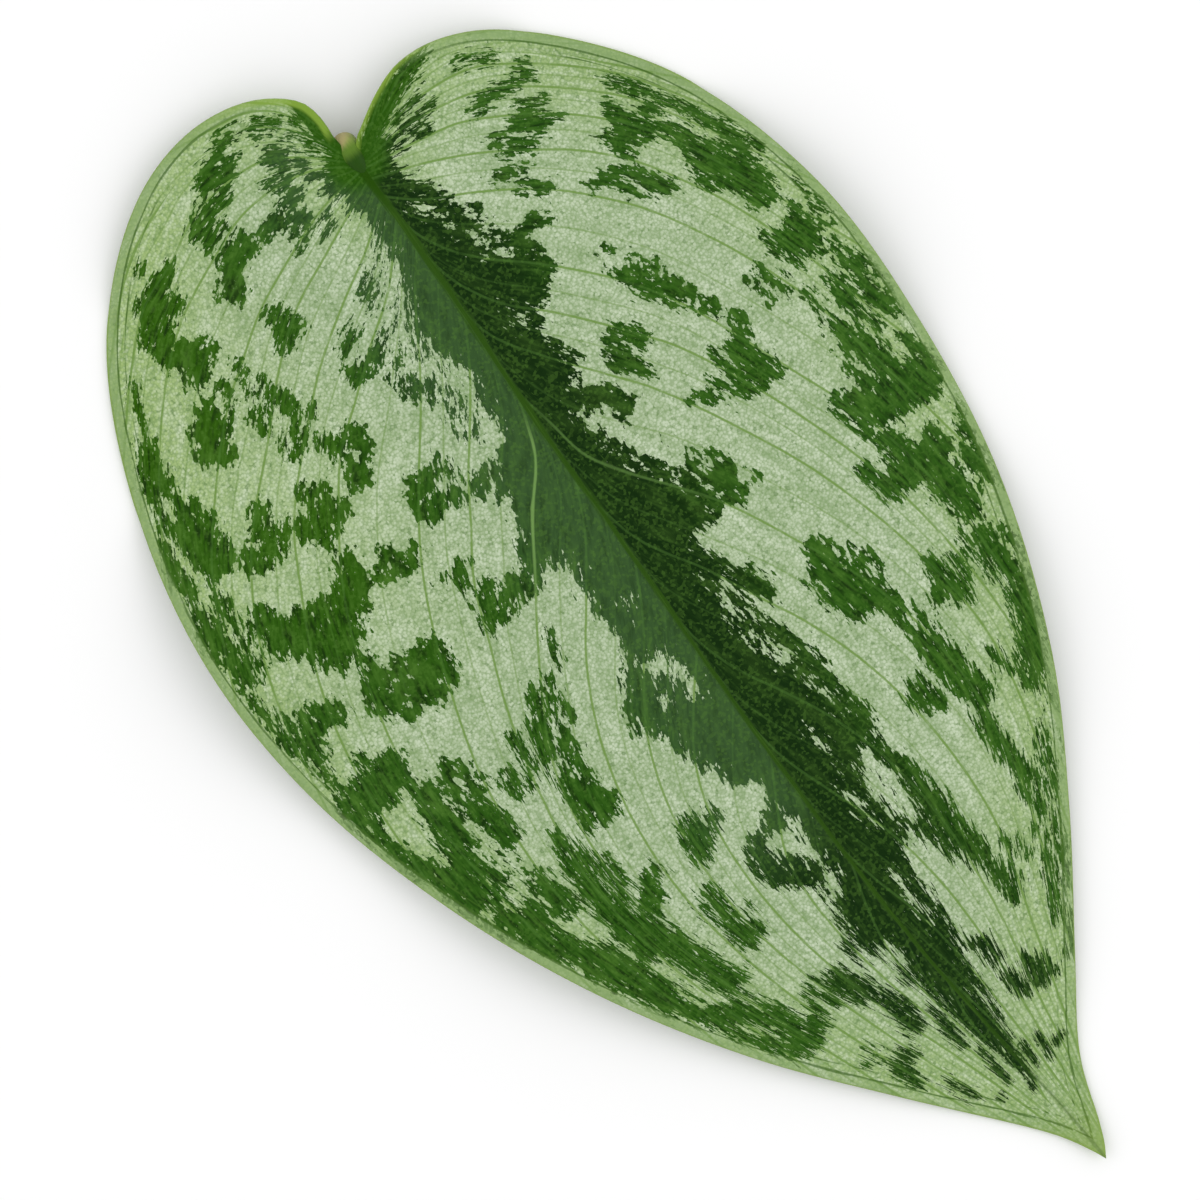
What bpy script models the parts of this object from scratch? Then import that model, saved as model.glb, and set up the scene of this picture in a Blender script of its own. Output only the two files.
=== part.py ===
"""A satin pothos leaf as picked: a heart-shaped blade with its midrib and a short cut petiole.

Units are metres and +Z is up. The leaf lies face up with its tip towards +Y, and rests on z = 0 on both
lobes and just short of the tip. The origin is under the middle of its box. Every formula below works in
the leaf's own plan, where x is across, y runs from the petiole to the tip, and the petiole is at 0, 0.
"""

import math

import bmesh
import bpy
import numpy as np
from mathutils import Matrix

MM = 0.001

# Driving dimensions
BLADE_THICKNESS = 0.7 * MM
PETIOLE_RADIUS = 1.55 * MM
TIP = (0.05, 150.3)

# Plan outline in mm, from the notch at the petiole round the lobe to the tip
WIDE_SIDE = [
    (0.8, -1.3), (0.65, -3.6), (1.5, -6.8), (6.4, -10.6), (14.4, -11.9), (24.2, -9.0), (36.6, 1.6),
    (45.9, 19.5), (50.4, 40.0), (49.8, 60.0), (44.9, 79.1), (36.5, 99.0), (26.5, 115.7), (15.0, 130.3),
    (3.1, 144.6), (0.9, 148.4), TIP,
]
NARROW_SIDE = [
    (-1.3, 0.5), (-6.4, -2.3), (-10.6, -3.6), (-16.2, -3.0), (-23.5, 1.0), (-36.0, 16.5), (-41.8, 36.5),
    (-41.9, 57.0), (-38.8, 76.7), (-30.5, 99.0), (-21.3, 114.7), (-11.0, 129.6), (-4.8, 138.8), (-1.9, 146.4),
    (-0.9, 148.7), TIP,
]
# Plan of the midrib in mm, from the top of the petiole to the tip
MIDRIB = [
    (0.45, 2.5), (0.5, 9.0), (0.7, 19.0), (1.25, 30.0), (1.8, 40.0), (2.2, 59.0), (2.95, 80.0), (3.2, 97.0),
    (2.9, 115.0), (1.5, 133.0), (0.3, 145.0), TIP,
]

# Side view of the midrib in mm, as place from the petiole and height
ARCH = [(-14.0, 4.6), (0.0, 6.0), (22.0, 7.5), (55.0, 8.2), (95.0, 5.5), (124.0, 2.0), (138.5, 0.3), (152.0, 1.8)]

# Relief across the blade. The midrib lies in a channel, which grows shallow towards the tip, and the
# blade droops towards its margins, which wave up and down.
CHANNEL = [(0.0, 1.5), (60.0, 1.2), (105.0, 0.9), (152.0, 0.6)]
CHANNEL_HALF_WIDTH = 5.5 * MM
WIDE_REACH = 48.0 * MM
NARROW_REACH = 42.0 * MM
SIDE_DROOP = 5.6 * MM
LOBE_START = 24.0 * MM
LOBE_REACH = 36.0 * MM
LOBE_DROOP = 2.4 * MM
WAVE_HEIGHT = 1.5 * MM
WAVE_LENGTH = 54.0 * MM
WAVE_TROUGH = 13.0 * MM

# Where each lobe hangs down to the surface, in mm: plan place and depth
SAGS = [(40.0, 8.5, 4.1), (-30.0, 8.5, 4.7)]
SAG_SPREAD = 17.0 * MM
# The blade rests flat where it would reach the surface, and eases up from there over this height
REST_EASE = 0.3 * MM

# Centre line of the petiole from its cut end up to the blade, in mm
PETIOLE = [(0.3, 0.3, 1.0), (0.3, 0.4, 2.0), (0.33, 0.9, 3.2), (0.4, 2.5, 4.1)]
# Keel under the midrib in mm, as place along the midrib and radius. It is sunk into the blade by KEEL_COVER
# less than its own depth, and its last point is inside the blade.
KEEL = [(5.0, 1.3), (30.0, 1.0), (70.0, 0.75), (112.0, 0.5)]
KEEL_COVER = 0.12 * MM
KEEL_END = (124.0, 0.2)
KEEL_END_DEPTH = 0.35 * MM

# Mesh density. A row leaves the midrib at one place and meets a margin at another: FIRST_SPREAD sets how
# far apart the first ones start, and LOBE_BOW how far those in the lobes bow away from the notch.
ROWS = 70
ROW_CROWDING = 1.25
COLUMNS_A_SIDE = 10
FIRST_SPREAD = 0.1
LOBE_BOW = 0.3
BOWED_SHARE = 0.5
KEEL_STEP = 4.0 * MM
CURVE_STEPS = 16
BEND_STEPS = 3
PETIOLE_BEVEL = 3
MERGE = 0.01 * MM

LEAF_GREEN = (0.25, 0.42, 0.21, 1.0)
LEAF_ROUGHNESS = 0.5
SHARP_ANGLE = math.radians(40)


def in_metres(points):
    return np.array(points, float) * MM


def curve_span(p, knots, steps):
    """The stretch between the middle two of four points, without its last point."""
    t = np.linspace(knots[1], knots[2], steps, endpoint=False)[:, None]

    def between(a, b, low, high):
        return ((knots[high] - t) * a + (t - knots[low]) * b) / (knots[high] - knots[low])

    first = between(p[0], p[1], 0, 1)
    middle = between(p[1], p[2], 1, 2)
    last = between(p[2], p[3], 2, 3)
    return between(between(first, middle, 0, 2), between(middle, last, 1, 3), 1, 2)


def smooth_path(points, steps=CURVE_STEPS):
    """The points joined by a centripetal Catmull-Rom curve, as many short steps."""
    before = 2 * points[0] - points[1]
    after = 2 * points[-1] - points[-2]
    p = np.concatenate([[before], points, [after]])
    chords = np.linalg.norm(np.diff(p, axis=0), axis=1)
    knots = np.concatenate([[0.0], np.cumsum(np.sqrt(chords))])
    spans = [curve_span(p[i : i + 4], knots[i : i + 4], steps) for i in range(len(points) - 1)]
    return np.concatenate([*spans, points[-1:]])


def at_share(path, share):
    """The point at this share of the path's length."""
    lengths = np.concatenate([[0.0], np.cumsum(np.linalg.norm(np.diff(path, axis=0), axis=1))])
    where = np.asarray(share) * lengths[-1]
    return np.stack([np.interp(where, lengths, path[:, k]) for k in range(path.shape[1])], axis=-1)


WIDE_MARGIN = smooth_path(in_metres(WIDE_SIDE))
NARROW_MARGIN = smooth_path(in_metres(NARROW_SIDE))
MIDRIB_PATH = smooth_path(in_metres(MIDRIB))
ARCH_PATH = smooth_path(in_metres(ARCH))
CHANNEL_PATH = smooth_path(in_metres(CHANNEL))


def midrib_x(y):
    return np.interp(y, MIDRIB_PATH[:, 1], MIDRIB_PATH[:, 0])


def settled(z):
    """The height kept at or above the blade's own thickness, flat where the blade lies on the surface."""
    lift = (z - BLADE_THICKNESS) / REST_EASE
    eased = (np.clip(lift, -1.0, 1.0) + 1) ** 2 / 4 + np.maximum(lift - 1.0, 0.0)
    return BLADE_THICKNESS + REST_EASE * eased


def height(x, y):
    """Height of the blade's upper face over a place in the plan."""
    aside = x - midrib_x(y)
    from_midrib = np.hypot(aside, np.minimum(y, 0.0))
    reach = (aside / np.where(aside > 0, WIDE_REACH, NARROW_REACH)) ** 2
    depth = np.interp(y, CHANNEL_PATH[:, 0], CHANNEL_PATH[:, 1])
    z = np.interp(y, ARCH_PATH[:, 0], ARCH_PATH[:, 1])
    z = z + depth * (1 - np.exp(-((from_midrib / CHANNEL_HALF_WIDTH) ** 2)))
    z = z - SIDE_DROOP * reach
    z = z - LOBE_DROOP * (np.maximum(LOBE_START - y, 0.0) / LOBE_REACH) ** 2
    z = z - WAVE_HEIGHT * reach * np.cos(2 * math.pi * (y - WAVE_TROUGH) / WAVE_LENGTH)
    for sag_x, sag_y, drop in in_metres(SAGS):
        away = np.hypot(x - sag_x, y - sag_y) / SAG_SPREAD
        z = z - drop * np.exp(-(away**2))
    return settled(z)


def row_point(side, share, out):
    """A place on a row that leaves the midrib and meets one side's margin. The first rows crowd at the
    petiole and bow away from the notch, as the lowest veins do."""
    start = at_share(MIDRIB_PATH, FIRST_SPREAD * share + (1 - FIRST_SPREAD) * share**2)
    end = at_share(WIDE_MARGIN if side > 0 else NARROW_MARGIN, share)
    chord = end - start
    bulge = LOBE_BOW * max(1 - (share / BOWED_SHARE) ** 2, 0.0) ** 2
    bow = side * bulge * np.array([-chord[1], chord[0]])
    return start + chord * out + bow * 2 * out * (1 - out)


def blade_surface():
    """The upper face: a grid whose rows run from margin to margin across the midrib."""
    bm = bmesh.new()
    bmesh.ops.create_grid(bm, x_segments=2 * COLUMNS_A_SIDE, y_segments=ROWS, size=1.0)
    for vertex in bm.verts:
        side = math.copysign(1, vertex.co.x)
        share = ((vertex.co.y + 1) / 2) ** ROW_CROWDING
        x, y = row_point(side, share, abs(vertex.co.x))
        vertex.co = (x, y, float(height(x, y)))
    bmesh.ops.remove_doubles(bm, verts=bm.verts, dist=MERGE)
    bmesh.ops.triangulate(bm, faces=bm.faces)
    bmesh.ops.recalc_face_normals(bm, faces=bm.faces)
    if sum(face.normal.z for face in bm.faces) < 0:
        bmesh.ops.reverse_faces(bm, faces=bm.faces)
    return bm


def object_from(bm, name, collection):
    mesh = bpy.data.meshes.new(name)
    bm.to_mesh(mesh)
    bm.free()
    made = bpy.data.objects.new(name, mesh)
    collection.objects.link(made)
    return made


def evaluated_mesh(made):
    graph = bpy.context.evaluated_depsgraph_get()
    return bpy.data.meshes.new_from_object(made.evaluated_get(graph))


def apply_modifiers(made):
    """Bakes an object's modifiers into its own mesh."""
    mesh = evaluated_mesh(made)
    made.modifiers.clear()
    made.data = mesh


def make_blade(collection):
    blade = object_from(blade_surface(), "leaf", collection)
    skin = blade.modifiers.new("Thickness", "SOLIDIFY")
    skin.thickness = BLADE_THICKNESS
    skin.offset = -1.0
    apply_modifiers(blade)
    return blade


def petiole_path():
    """Centre line and radius, from the cut end up to the blade and along under the midrib."""
    keel = in_metres(KEEL)
    run = []
    for y in np.arange(keel[0, 0], keel[-1, 0] + KEEL_STEP / 2, KEEL_STEP):
        radius = np.interp(y, keel[:, 0], keel[:, 1])
        x = midrib_x(y)
        run.append((x, y, height(x, y) - KEEL_COVER - radius, radius))
    y, radius = in_metres(KEEL_END)
    x = midrib_x(y)
    run.append((x, y, height(x, y) - KEEL_END_DEPTH, radius))
    rise = [(x, y, z, PETIOLE_RADIUS) for x, y, z in in_metres(PETIOLE)]
    return np.concatenate([smooth_path(np.array(rise + run[:1]), steps=BEND_STEPS), run[1:]])


def make_petiole(collection):
    """Petiole and keel as one tapering tube. Its curve has a bevel of 1, so a point's radius is in metres."""
    data = bpy.data.curves.new("petiole", "CURVE")
    data.dimensions = "3D"
    data.bevel_depth = 1.0
    data.bevel_resolution = PETIOLE_BEVEL
    data.use_fill_caps = True
    points = petiole_path()
    spline = data.splines.new("POLY")
    spline.points.add(len(points) - 1)
    for point, (x, y, z, radius) in zip(spline.points, points):
        point.co = (x, y, z, 1.0)
        point.radius = radius
    tube = bpy.data.objects.new("petiole_curve", data)
    collection.objects.link(tube)
    bm = bmesh.new()
    bm.from_mesh(evaluated_mesh(tube))
    bpy.data.objects.remove(tube)
    bmesh.ops.remove_doubles(bm, verts=bm.verts, dist=MERGE)
    bmesh.ops.triangulate(bm, faces=bm.faces)
    bmesh.ops.recalc_face_normals(bm, faces=bm.faces)
    return object_from(bm, "petiole", collection)


def join(blade, petiole):
    union = blade.modifiers.new("Petiole", "BOOLEAN")
    union.operation = "UNION"
    union.object = petiole
    apply_modifiers(blade)
    bpy.data.objects.remove(petiole)


def set_down(leaf):
    """Levels the resting spots on z = 0 and moves the origin under the middle of the leaf's box."""
    for vertex in leaf.data.vertices:
        if vertex.co.z < MERGE:
            vertex.co.z = 0.0
    points = np.array([vertex.co for vertex in leaf.data.vertices])
    middle = (points.min(axis=0) + points.max(axis=0)) / 2
    leaf.data.transform(Matrix.Translation((-middle[0], -middle[1], 0.0)))


def leaf_material():
    material = bpy.data.materials.new("satin_leaf")
    material.use_nodes = True
    shader = material.node_tree.nodes["Principled BSDF"]
    shader.inputs["Base Color"].default_value = LEAF_GREEN
    shader.inputs["Roughness"].default_value = LEAF_ROUGHNESS
    return material


def main():
    for old in list(bpy.data.objects):
        bpy.data.objects.remove(old)
    collection = bpy.data.collections.new("satin_pothos_leaf")
    bpy.context.scene.collection.children.link(collection)
    leaf = make_blade(collection)
    join(leaf, make_petiole(collection))
    set_down(leaf)
    leaf.data.materials.clear()
    leaf.data.materials.append(leaf_material())
    leaf.data.shade_smooth()
    leaf.data.set_sharp_from_angle(angle=SHARP_ANGLE)


main()
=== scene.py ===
# %% [markdown]
# # A satin pothos leaf, picked and laid down
#
# A satin pothos leaf is broad and heart-shaped. It is deep green, and most of its upper face looks
# silver, where the plant keeps thin pockets of air under its skin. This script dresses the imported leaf:
# it rebuilds the blade as a fine mesh whose rows follow the veins, paints the silver with nodes that
# read those rows, adds the cut petiole, and lights it softly for a camera that looks straight down.

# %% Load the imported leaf
import math

import bpy
import numpy as np
from mathutils import Matrix, Vector


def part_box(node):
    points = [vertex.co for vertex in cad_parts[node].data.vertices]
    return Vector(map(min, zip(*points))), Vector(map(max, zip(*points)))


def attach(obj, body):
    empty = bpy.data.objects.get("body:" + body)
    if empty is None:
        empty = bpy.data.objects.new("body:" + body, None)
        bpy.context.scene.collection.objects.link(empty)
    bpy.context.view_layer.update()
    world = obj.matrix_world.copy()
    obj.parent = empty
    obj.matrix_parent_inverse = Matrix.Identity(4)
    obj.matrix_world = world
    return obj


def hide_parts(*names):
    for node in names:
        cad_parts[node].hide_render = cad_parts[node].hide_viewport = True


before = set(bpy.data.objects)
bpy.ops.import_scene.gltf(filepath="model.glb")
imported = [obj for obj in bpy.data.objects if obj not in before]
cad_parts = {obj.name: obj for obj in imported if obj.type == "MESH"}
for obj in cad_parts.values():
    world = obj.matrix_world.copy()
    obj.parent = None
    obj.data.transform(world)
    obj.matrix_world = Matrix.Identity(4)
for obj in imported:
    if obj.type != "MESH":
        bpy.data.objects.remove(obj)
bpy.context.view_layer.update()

MM = 0.001
low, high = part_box("leaf")
print("packed leaf, mm:", [round((b - a) / MM, 1) for a, b in zip(low, high)])

# %% [markdown]
# ## The outline
#
# Someone who presses a leaf in a book draws round it first. The same is done here, in millimetres, in
# the leaf's own plan: x runs across, y runs from the petiole to the tip, and the petiole is at 0, 0. The
# two halves of this leaf differ, so each has its own list of points, from the notch round the lobe to
# the tip. A circle or a spline object would also do, but a plain list of points can be measured against
# the mesh later.

# %% Points of the outline
TIP = (0.05, 150.3)
PETIOLE_TOP = (0.45, 2.5)
WIDE_SIDE = [
    (0.8, -1.3), (0.65, -3.6), (1.5, -6.8), (6.4, -10.6), (14.4, -11.9), (24.2, -9.0), (36.6, 1.6),
    (45.9, 19.5), (50.4, 40.0), (49.8, 60.0), (44.9, 79.1), (36.5, 99.0), (26.5, 115.7), (15.0, 130.3),
    (3.1, 144.6), (0.9, 148.4), TIP,
]
NARROW_SIDE = [
    (-1.3, 0.5), (-6.4, -2.3), (-10.6, -3.6), (-16.2, -3.0), (-23.5, 1.0), (-36.0, 16.5), (-41.8, 36.5),
    (-41.9, 57.0), (-38.8, 76.7), (-30.5, 99.0), (-21.3, 114.7), (-11.0, 129.6), (-4.8, 138.8),
    (-1.9, 146.4), (-0.9, 148.7), TIP,
]
MIDRIB = [
    PETIOLE_TOP, (0.5, 9.0), (0.7, 19.0), (1.25, 30.0), (1.8, 40.0), (2.2, 59.0), (2.95, 80.0), (3.2, 97.0),
    (2.9, 115.0), (1.5, 133.0), (0.3, 145.0), TIP,
]


# %% Join points with a smooth curve
def curve_span(p, knots, steps):
    """The stretch between the middle two of four points, without its last point."""
    t = np.linspace(knots[1], knots[2], steps, endpoint=False)[:, None]

    def between(a, b, first, last):
        return ((knots[last] - t) * a + (t - knots[first]) * b) / (knots[last] - knots[first])

    first = between(p[0], p[1], 0, 1)
    middle = between(p[1], p[2], 1, 2)
    last = between(p[2], p[3], 2, 3)
    return between(between(first, middle, 0, 2), between(middle, last, 1, 3), 1, 2)


def smooth_path(points, steps=16):
    """The points joined by a centripetal Catmull-Rom curve, as many short steps."""
    points = np.array(points, float)
    p = np.concatenate([[2 * points[0] - points[1]], points, [2 * points[-1] - points[-2]]])
    knots = np.concatenate([[0.0], np.cumsum(np.sqrt(np.linalg.norm(np.diff(p, axis=0), axis=1)))])
    spans = [curve_span(p[i : i + 4], knots[i : i + 4], steps) for i in range(len(points) - 1)]
    return np.concatenate([*spans, points[-1:]])


def lengths_along(path):
    return np.concatenate([[0.0], np.cumsum(np.linalg.norm(np.diff(path, axis=0), axis=1))])


def at_length(path, where):
    lengths = lengths_along(path)
    return np.stack([np.interp(where, lengths, path[:, k]) for k in range(path.shape[1])], axis=-1)


WIDE_MARGIN = np.concatenate([[PETIOLE_TOP], smooth_path(WIDE_SIDE)])
NARROW_MARGIN = np.concatenate([[PETIOLE_TOP], smooth_path(NARROW_SIDE)])
MIDRIB_PATH = smooth_path(MIDRIB)
for side, path in (("wide", WIDE_MARGIN), ("narrow", NARROW_MARGIN)):
    print(side, "margin:", round(lengths_along(path)[-1], 1), "mm long")

# %% [markdown]
# ## The lie of the leaf
#
# A picked leaf isn't flat. Its midrib arches, the blade rises on both sides of it like a shallow valley
# and then droops to a wavy margin, and both lobes and a place near the tip touch the table. Sculpting
# would give that once, by hand. A formula for the height over each place in the plan gives the same leaf
# at every run, and a mesh of any fineness can be laid on it.

# %% Height of the upper face
BLADE_THICKNESS = 0.7
ARCH = smooth_path([
    (-14.0, 4.6), (0.0, 6.0), (22.0, 7.5), (55.0, 8.2), (95.0, 5.5), (124.0, 2.0), (138.5, 0.3),
    (152.0, 1.8),
])
CHANNEL = smooth_path([(0.0, 1.5), (60.0, 1.2), (105.0, 0.9), (152.0, 0.6)])
CHANNEL_HALF_WIDTH = 5.5
WIDE_REACH = 48.0
NARROW_REACH = 42.0
SIDE_DROOP = 5.6
LOBE_START = 24.0
LOBE_REACH = 36.0
LOBE_DROOP = 2.4
WAVE_HEIGHT = 1.5
WAVE_LENGTH = 54.0
WAVE_TROUGH = 13.0
SAGS = [(40.0, 8.5, 4.1), (-30.0, 8.5, 4.7)]
SAG_SPREAD = 17.0
REST_EASE = 0.3


def midrib_x(y):
    return np.interp(y, MIDRIB_PATH[:, 1], MIDRIB_PATH[:, 0])


def settled(z):
    """The height kept at or above the blade's own thickness, flat where the blade lies on the table."""
    lift = (z - BLADE_THICKNESS) / REST_EASE
    eased = (np.clip(lift, -1.0, 1.0) + 1) ** 2 / 4 + np.maximum(lift - 1.0, 0.0)
    return BLADE_THICKNESS + REST_EASE * eased


def height(x, y):
    aside = x - midrib_x(y)
    from_midrib = np.hypot(aside, np.minimum(y, 0.0))
    reach = (aside / np.where(aside > 0, WIDE_REACH, NARROW_REACH)) ** 2
    depth = np.interp(y, CHANNEL[:, 0], CHANNEL[:, 1])
    z = np.interp(y, ARCH[:, 0], ARCH[:, 1])
    z = z + depth * (1 - np.exp(-((from_midrib / CHANNEL_HALF_WIDTH) ** 2)))
    z = z - SIDE_DROOP * reach
    z = z - LOBE_DROOP * (np.maximum(LOBE_START - y, 0.0) / LOBE_REACH) ** 2
    z = z - WAVE_HEIGHT * reach * np.cos(2 * math.pi * (y - WAVE_TROUGH) / WAVE_LENGTH)
    for sag_x, sag_y, drop in SAGS:
        z = z - drop * np.exp(-((np.hypot(x - sag_x, y - sag_y) / SAG_SPREAD) ** 2))
    return settled(z)


print("height over the middle of the midrib:", round(float(height(2.0, 60.0)), 2), "mm")

# %% [markdown]
# ## The veins
#
# Everything on this leaf follows its veins: the fine lines, the shallow ribs between them, and the torn
# edges of the silver. They leave the midrib at a low angle, sweep outwards and run on towards the tip.
# About eighteen a side are drawn below, each as the place where it leaves the midrib and a few
# points on its way to the margin. All the veins between two of those are blends of their neighbours,
# which is much less work than drawing each one.

# %% Main veins of the wide half
WIDE_VEINS = [
    (2.7, [(1.5, -2.5), (3.0, -7.0), (6.7, -10.9)]),
    (2.8, [(2.3, -3.5), (4.5, -7.5), (7.6, -9.6), (12.0, -10.5), (18.0, -11.4)]),
    (2.9, [(3.5, -3.5), (7.6, -7.5), (10.7, -8.8), (15.3, -8.8), (25.0, -5.8), (31.0, -2.3),
           (39.5, 5.7)]),
    (3.2, [(5.5, -1.5), (9.5, -3.8), (14.5, -4.2), (19.5, -3.5), (25.0, -0.8), (31.0, 1.6), (37.0, 7.0),
           (44.0, 15.0)]),
    (3.6, [(5.0, 0.8), (10.0, -0.3), (15.3, 0.0), (19.5, 1.5), (25.0, 3.8), (28.8, 5.8), (34.0, 10.0),
           (41.0, 18.0), (48.7, 30.0)]),
    (4.1, [(6.8, 5.0), (15.3, 8.1), (20.3, 10.4), (25.0, 13.5), (30.0, 17.0), (36.5, 23.5), (43.0, 31.5),
           (50.5, 47.0)]),
    (5.5, [(10.0, 9.7), (16.5, 12.7), (22.6, 17.3), (28.4, 23.0), (34.9, 29.0), (38.4, 33.0),
           (43.0, 40.5), (46.5, 50.0), (49.2, 63.0)]),
    (8.0, [(5.7, 12.0), (12.2, 15.8), (18.0, 19.6), (22.6, 23.5), (31.5, 32.3), (35.7, 39.2),
           (40.5, 49.0), (43.5, 60.0), (44.9, 79.1)]),
    (11.0, [(6.8, 17.7), (12.2, 21.5), (17.2, 25.4), (22.6, 29.6), (27.2, 35.4), (30.7, 40.5),
            (34.2, 47.3), (38.0, 59.6), (39.5, 70.0), (38.8, 82.0), (36.5, 99.0)]),
    (15.0, [(4.5, 20.0), (8.8, 26.7), (12.0, 31.2), (16.0, 36.2), (20.0, 41.5), (23.0, 46.2),
            (25.7, 51.5), (28.4, 58.2), (31.9, 69.2), (33.2, 80.0), (32.8, 92.0), (28.5, 112.8)]),
    (25.0, [(4.8, 31.2), (8.8, 36.5), (12.2, 40.8), (15.0, 45.0), (19.0, 51.0), (21.8, 57.7),
            (24.9, 65.4), (27.6, 75.0), (29.2, 86.0), (28.0, 99.0), (21.5, 122.5)]),
    (36.0, [(2.9, 40.0), (4.6, 43.8), (8.8, 48.8), (13.0, 55.0), (16.5, 60.0), (21.8, 68.5),
            (24.5, 74.0), (26.3, 82.0), (26.5, 93.0), (23.5, 107.0), (15.0, 130.3)]),
    (48.0, [(5.0, 54.0), (9.9, 60.8), (13.4, 65.4), (16.5, 70.8), (19.0, 77.0), (21.0, 86.0),
            (21.3, 97.0), (18.5, 112.0), (9.5, 137.2)]),
    (60.0, [(5.8, 66.5), (9.8, 72.0), (13.2, 77.0), (16.0, 84.0), (17.4, 92.0), (17.2, 103.0),
            (14.0, 117.0), (5.2, 142.5)]),
    (73.0, [(7.0, 78.0), (10.6, 83.0), (13.0, 89.0), (14.0, 96.0), (13.6, 106.0), (11.0, 118.5),
            (7.0, 130.0), (1.9, 146.5)]),
    (88.0, [(6.3, 93.5), (8.9, 99.0), (9.6, 106.0), (8.7, 115.0), (6.3, 126.0), (3.6, 137.0),
            (0.8, 148.4)]),
    (104.0, [(4.9, 109.5), (5.9, 116.0), (4.9, 125.0), (3.0, 135.0), (1.4, 143.0), (0.3, 149.2)]),
    (122.0, [(3.2, 127.5), (2.4, 135.0), (1.1, 143.0), (-0.1, 149.7)]),
    (137.0, [(1.5, 141.0), (0.6, 146.0), (-0.2, 149.95)]),
]

# %% Main veins of the narrow half
NARROW_VEINS = [
    (2.7, [(-2.5, 1.2), (-6.0, -1.2), (-10.6, -3.6)]),
    (2.8, [(-5.5, 0.2), (-10.2, -2.2), (-15.8, -2.4), (-22.0, 0.0)]),
    (2.9, [(-5.0, 0.9), (-10.4, -1.0), (-15.8, -0.9), (-20.4, 1.1), (-25.0, 5.2), (-28.5, 9.0),
           (-37.0, 18.5)]),
    (3.2, [(-6.5, 1.6), (-12.3, 1.3), (-17.3, 2.2), (-21.9, 4.9), (-26.5, 8.6), (-31.5, 14.0),
           (-40.0, 28.0)]),
    (3.6, [(-6.5, 3.1), (-11.9, 3.7), (-16.5, 5.0), (-21.2, 7.8), (-25.4, 11.2), (-30.0, 16.0),
           (-34.5, 23.5), (-41.8, 38.0)]),
    (4.1, [(-6.5, 5.3), (-11.9, 6.5), (-16.5, 8.8), (-21.2, 11.8), (-25.4, 15.5), (-29.5, 20.5),
           (-33.0, 27.0), (-36.0, 34.0), (-42.1, 49.0)]),
    (5.5, [(-6.5, 8.2), (-11.9, 10.9), (-17.3, 14.4), (-21.5, 17.6), (-25.8, 22.3), (-28.8, 27.2),
           (-31.9, 33.4), (-35.5, 44.0), (-38.0, 54.0), (-41.0, 64.0)]),
    (8.0, [(-3.2, 11.3), (-8.1, 14.0), (-12.3, 16.6), (-16.5, 19.8), (-19.6, 23.0), (-23.5, 27.8),
           (-27.3, 34.5), (-29.8, 40.0), (-32.8, 48.5), (-35.5, 62.0), (-38.2, 79.0)]),
    (11.0, [(-0.6, 15.2), (-2.6, 18.6), (-5.0, 21.4), (-9.6, 25.6), (-13.1, 29.3), (-16.2, 33.0),
            (-18.8, 36.9), (-21.2, 41.5), (-25.8, 53.0), (-30.0, 64.5), (-32.0, 78.0), (-31.5, 97.0)]),
    (16.0, [(-0.3, 21.0), (-3.0, 26.3), (-7.7, 31.4), (-11.5, 36.0), (-14.2, 39.5), (-16.5, 42.7),
            (-19.5, 48.5), (-23.2, 57.5), (-26.8, 69.0), (-28.6, 81.0), (-28.6, 93.0), (-26.5, 106.0)]),
    (24.5, [(0.0, 29.0), (-3.3, 34.3), (-8.1, 40.7), (-11.2, 44.8), (-13.7, 49.0), (-16.2, 53.8),
            (-21.2, 65.0), (-25.0, 79.4), (-25.9, 93.0), (-20.0, 117.0)]),
    (36.0, [(0.6, 41.3), (-0.4, 46.7), (-3.0, 51.2), (-6.5, 55.9), (-10.0, 60.9), (-14.2, 69.4),
            (-18.5, 79.8), (-20.6, 92.0), (-19.2, 106.0), (-11.0, 129.6)]),
    (52.0, [(0.8, 57.8), (-1.0, 61.5), (-3.5, 65.6), (-6.8, 72.5), (-9.6, 78.3), (-12.3, 86.5),
            (-13.9, 97.0), (-13.4, 110.0), (-9.6, 123.0), (-4.8, 138.8)]),
    (67.0, [(2.0, 72.6), (0.3, 77.8), (-2.4, 83.0), (-5.2, 89.0), (-7.4, 96.5), (-8.4, 106.0),
            (-7.6, 117.0), (-5.3, 129.0), (-2.7, 143.8)]),
    (84.0, [(2.2, 89.5), (0.2, 95.5), (-2.2, 102.5), (-3.8, 111.0), (-4.0, 121.0), (-2.9, 133.0),
            (-1.4, 147.9)]),
    (102.0, [(2.2, 107.0), (0.5, 113.5), (-0.6, 121.5), (-1.0, 131.0), (-1.0, 141.0), (-0.9, 149.0)]),
    (120.0, [(1.7, 125.0), (0.7, 132.0), (0.0, 140.0), (-0.6, 149.6)]),
    (136.0, [(0.7, 141.0), (0.1, 146.0), (-0.45, 149.95)]),
]


# %% Blend the main veins into a family
POINTS_A_VEIN = 121
STEPS_TO_SEARCH = 4000


def nearest_length(path, point):
    """How far along the path its nearest place to a point is."""
    fine = at_length(path, np.linspace(0, lengths_along(path)[-1], STEPS_TO_SEARCH))
    nearest = np.argmin(np.linalg.norm(fine - point, axis=1))
    return lengths_along(fine)[nearest]


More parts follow.
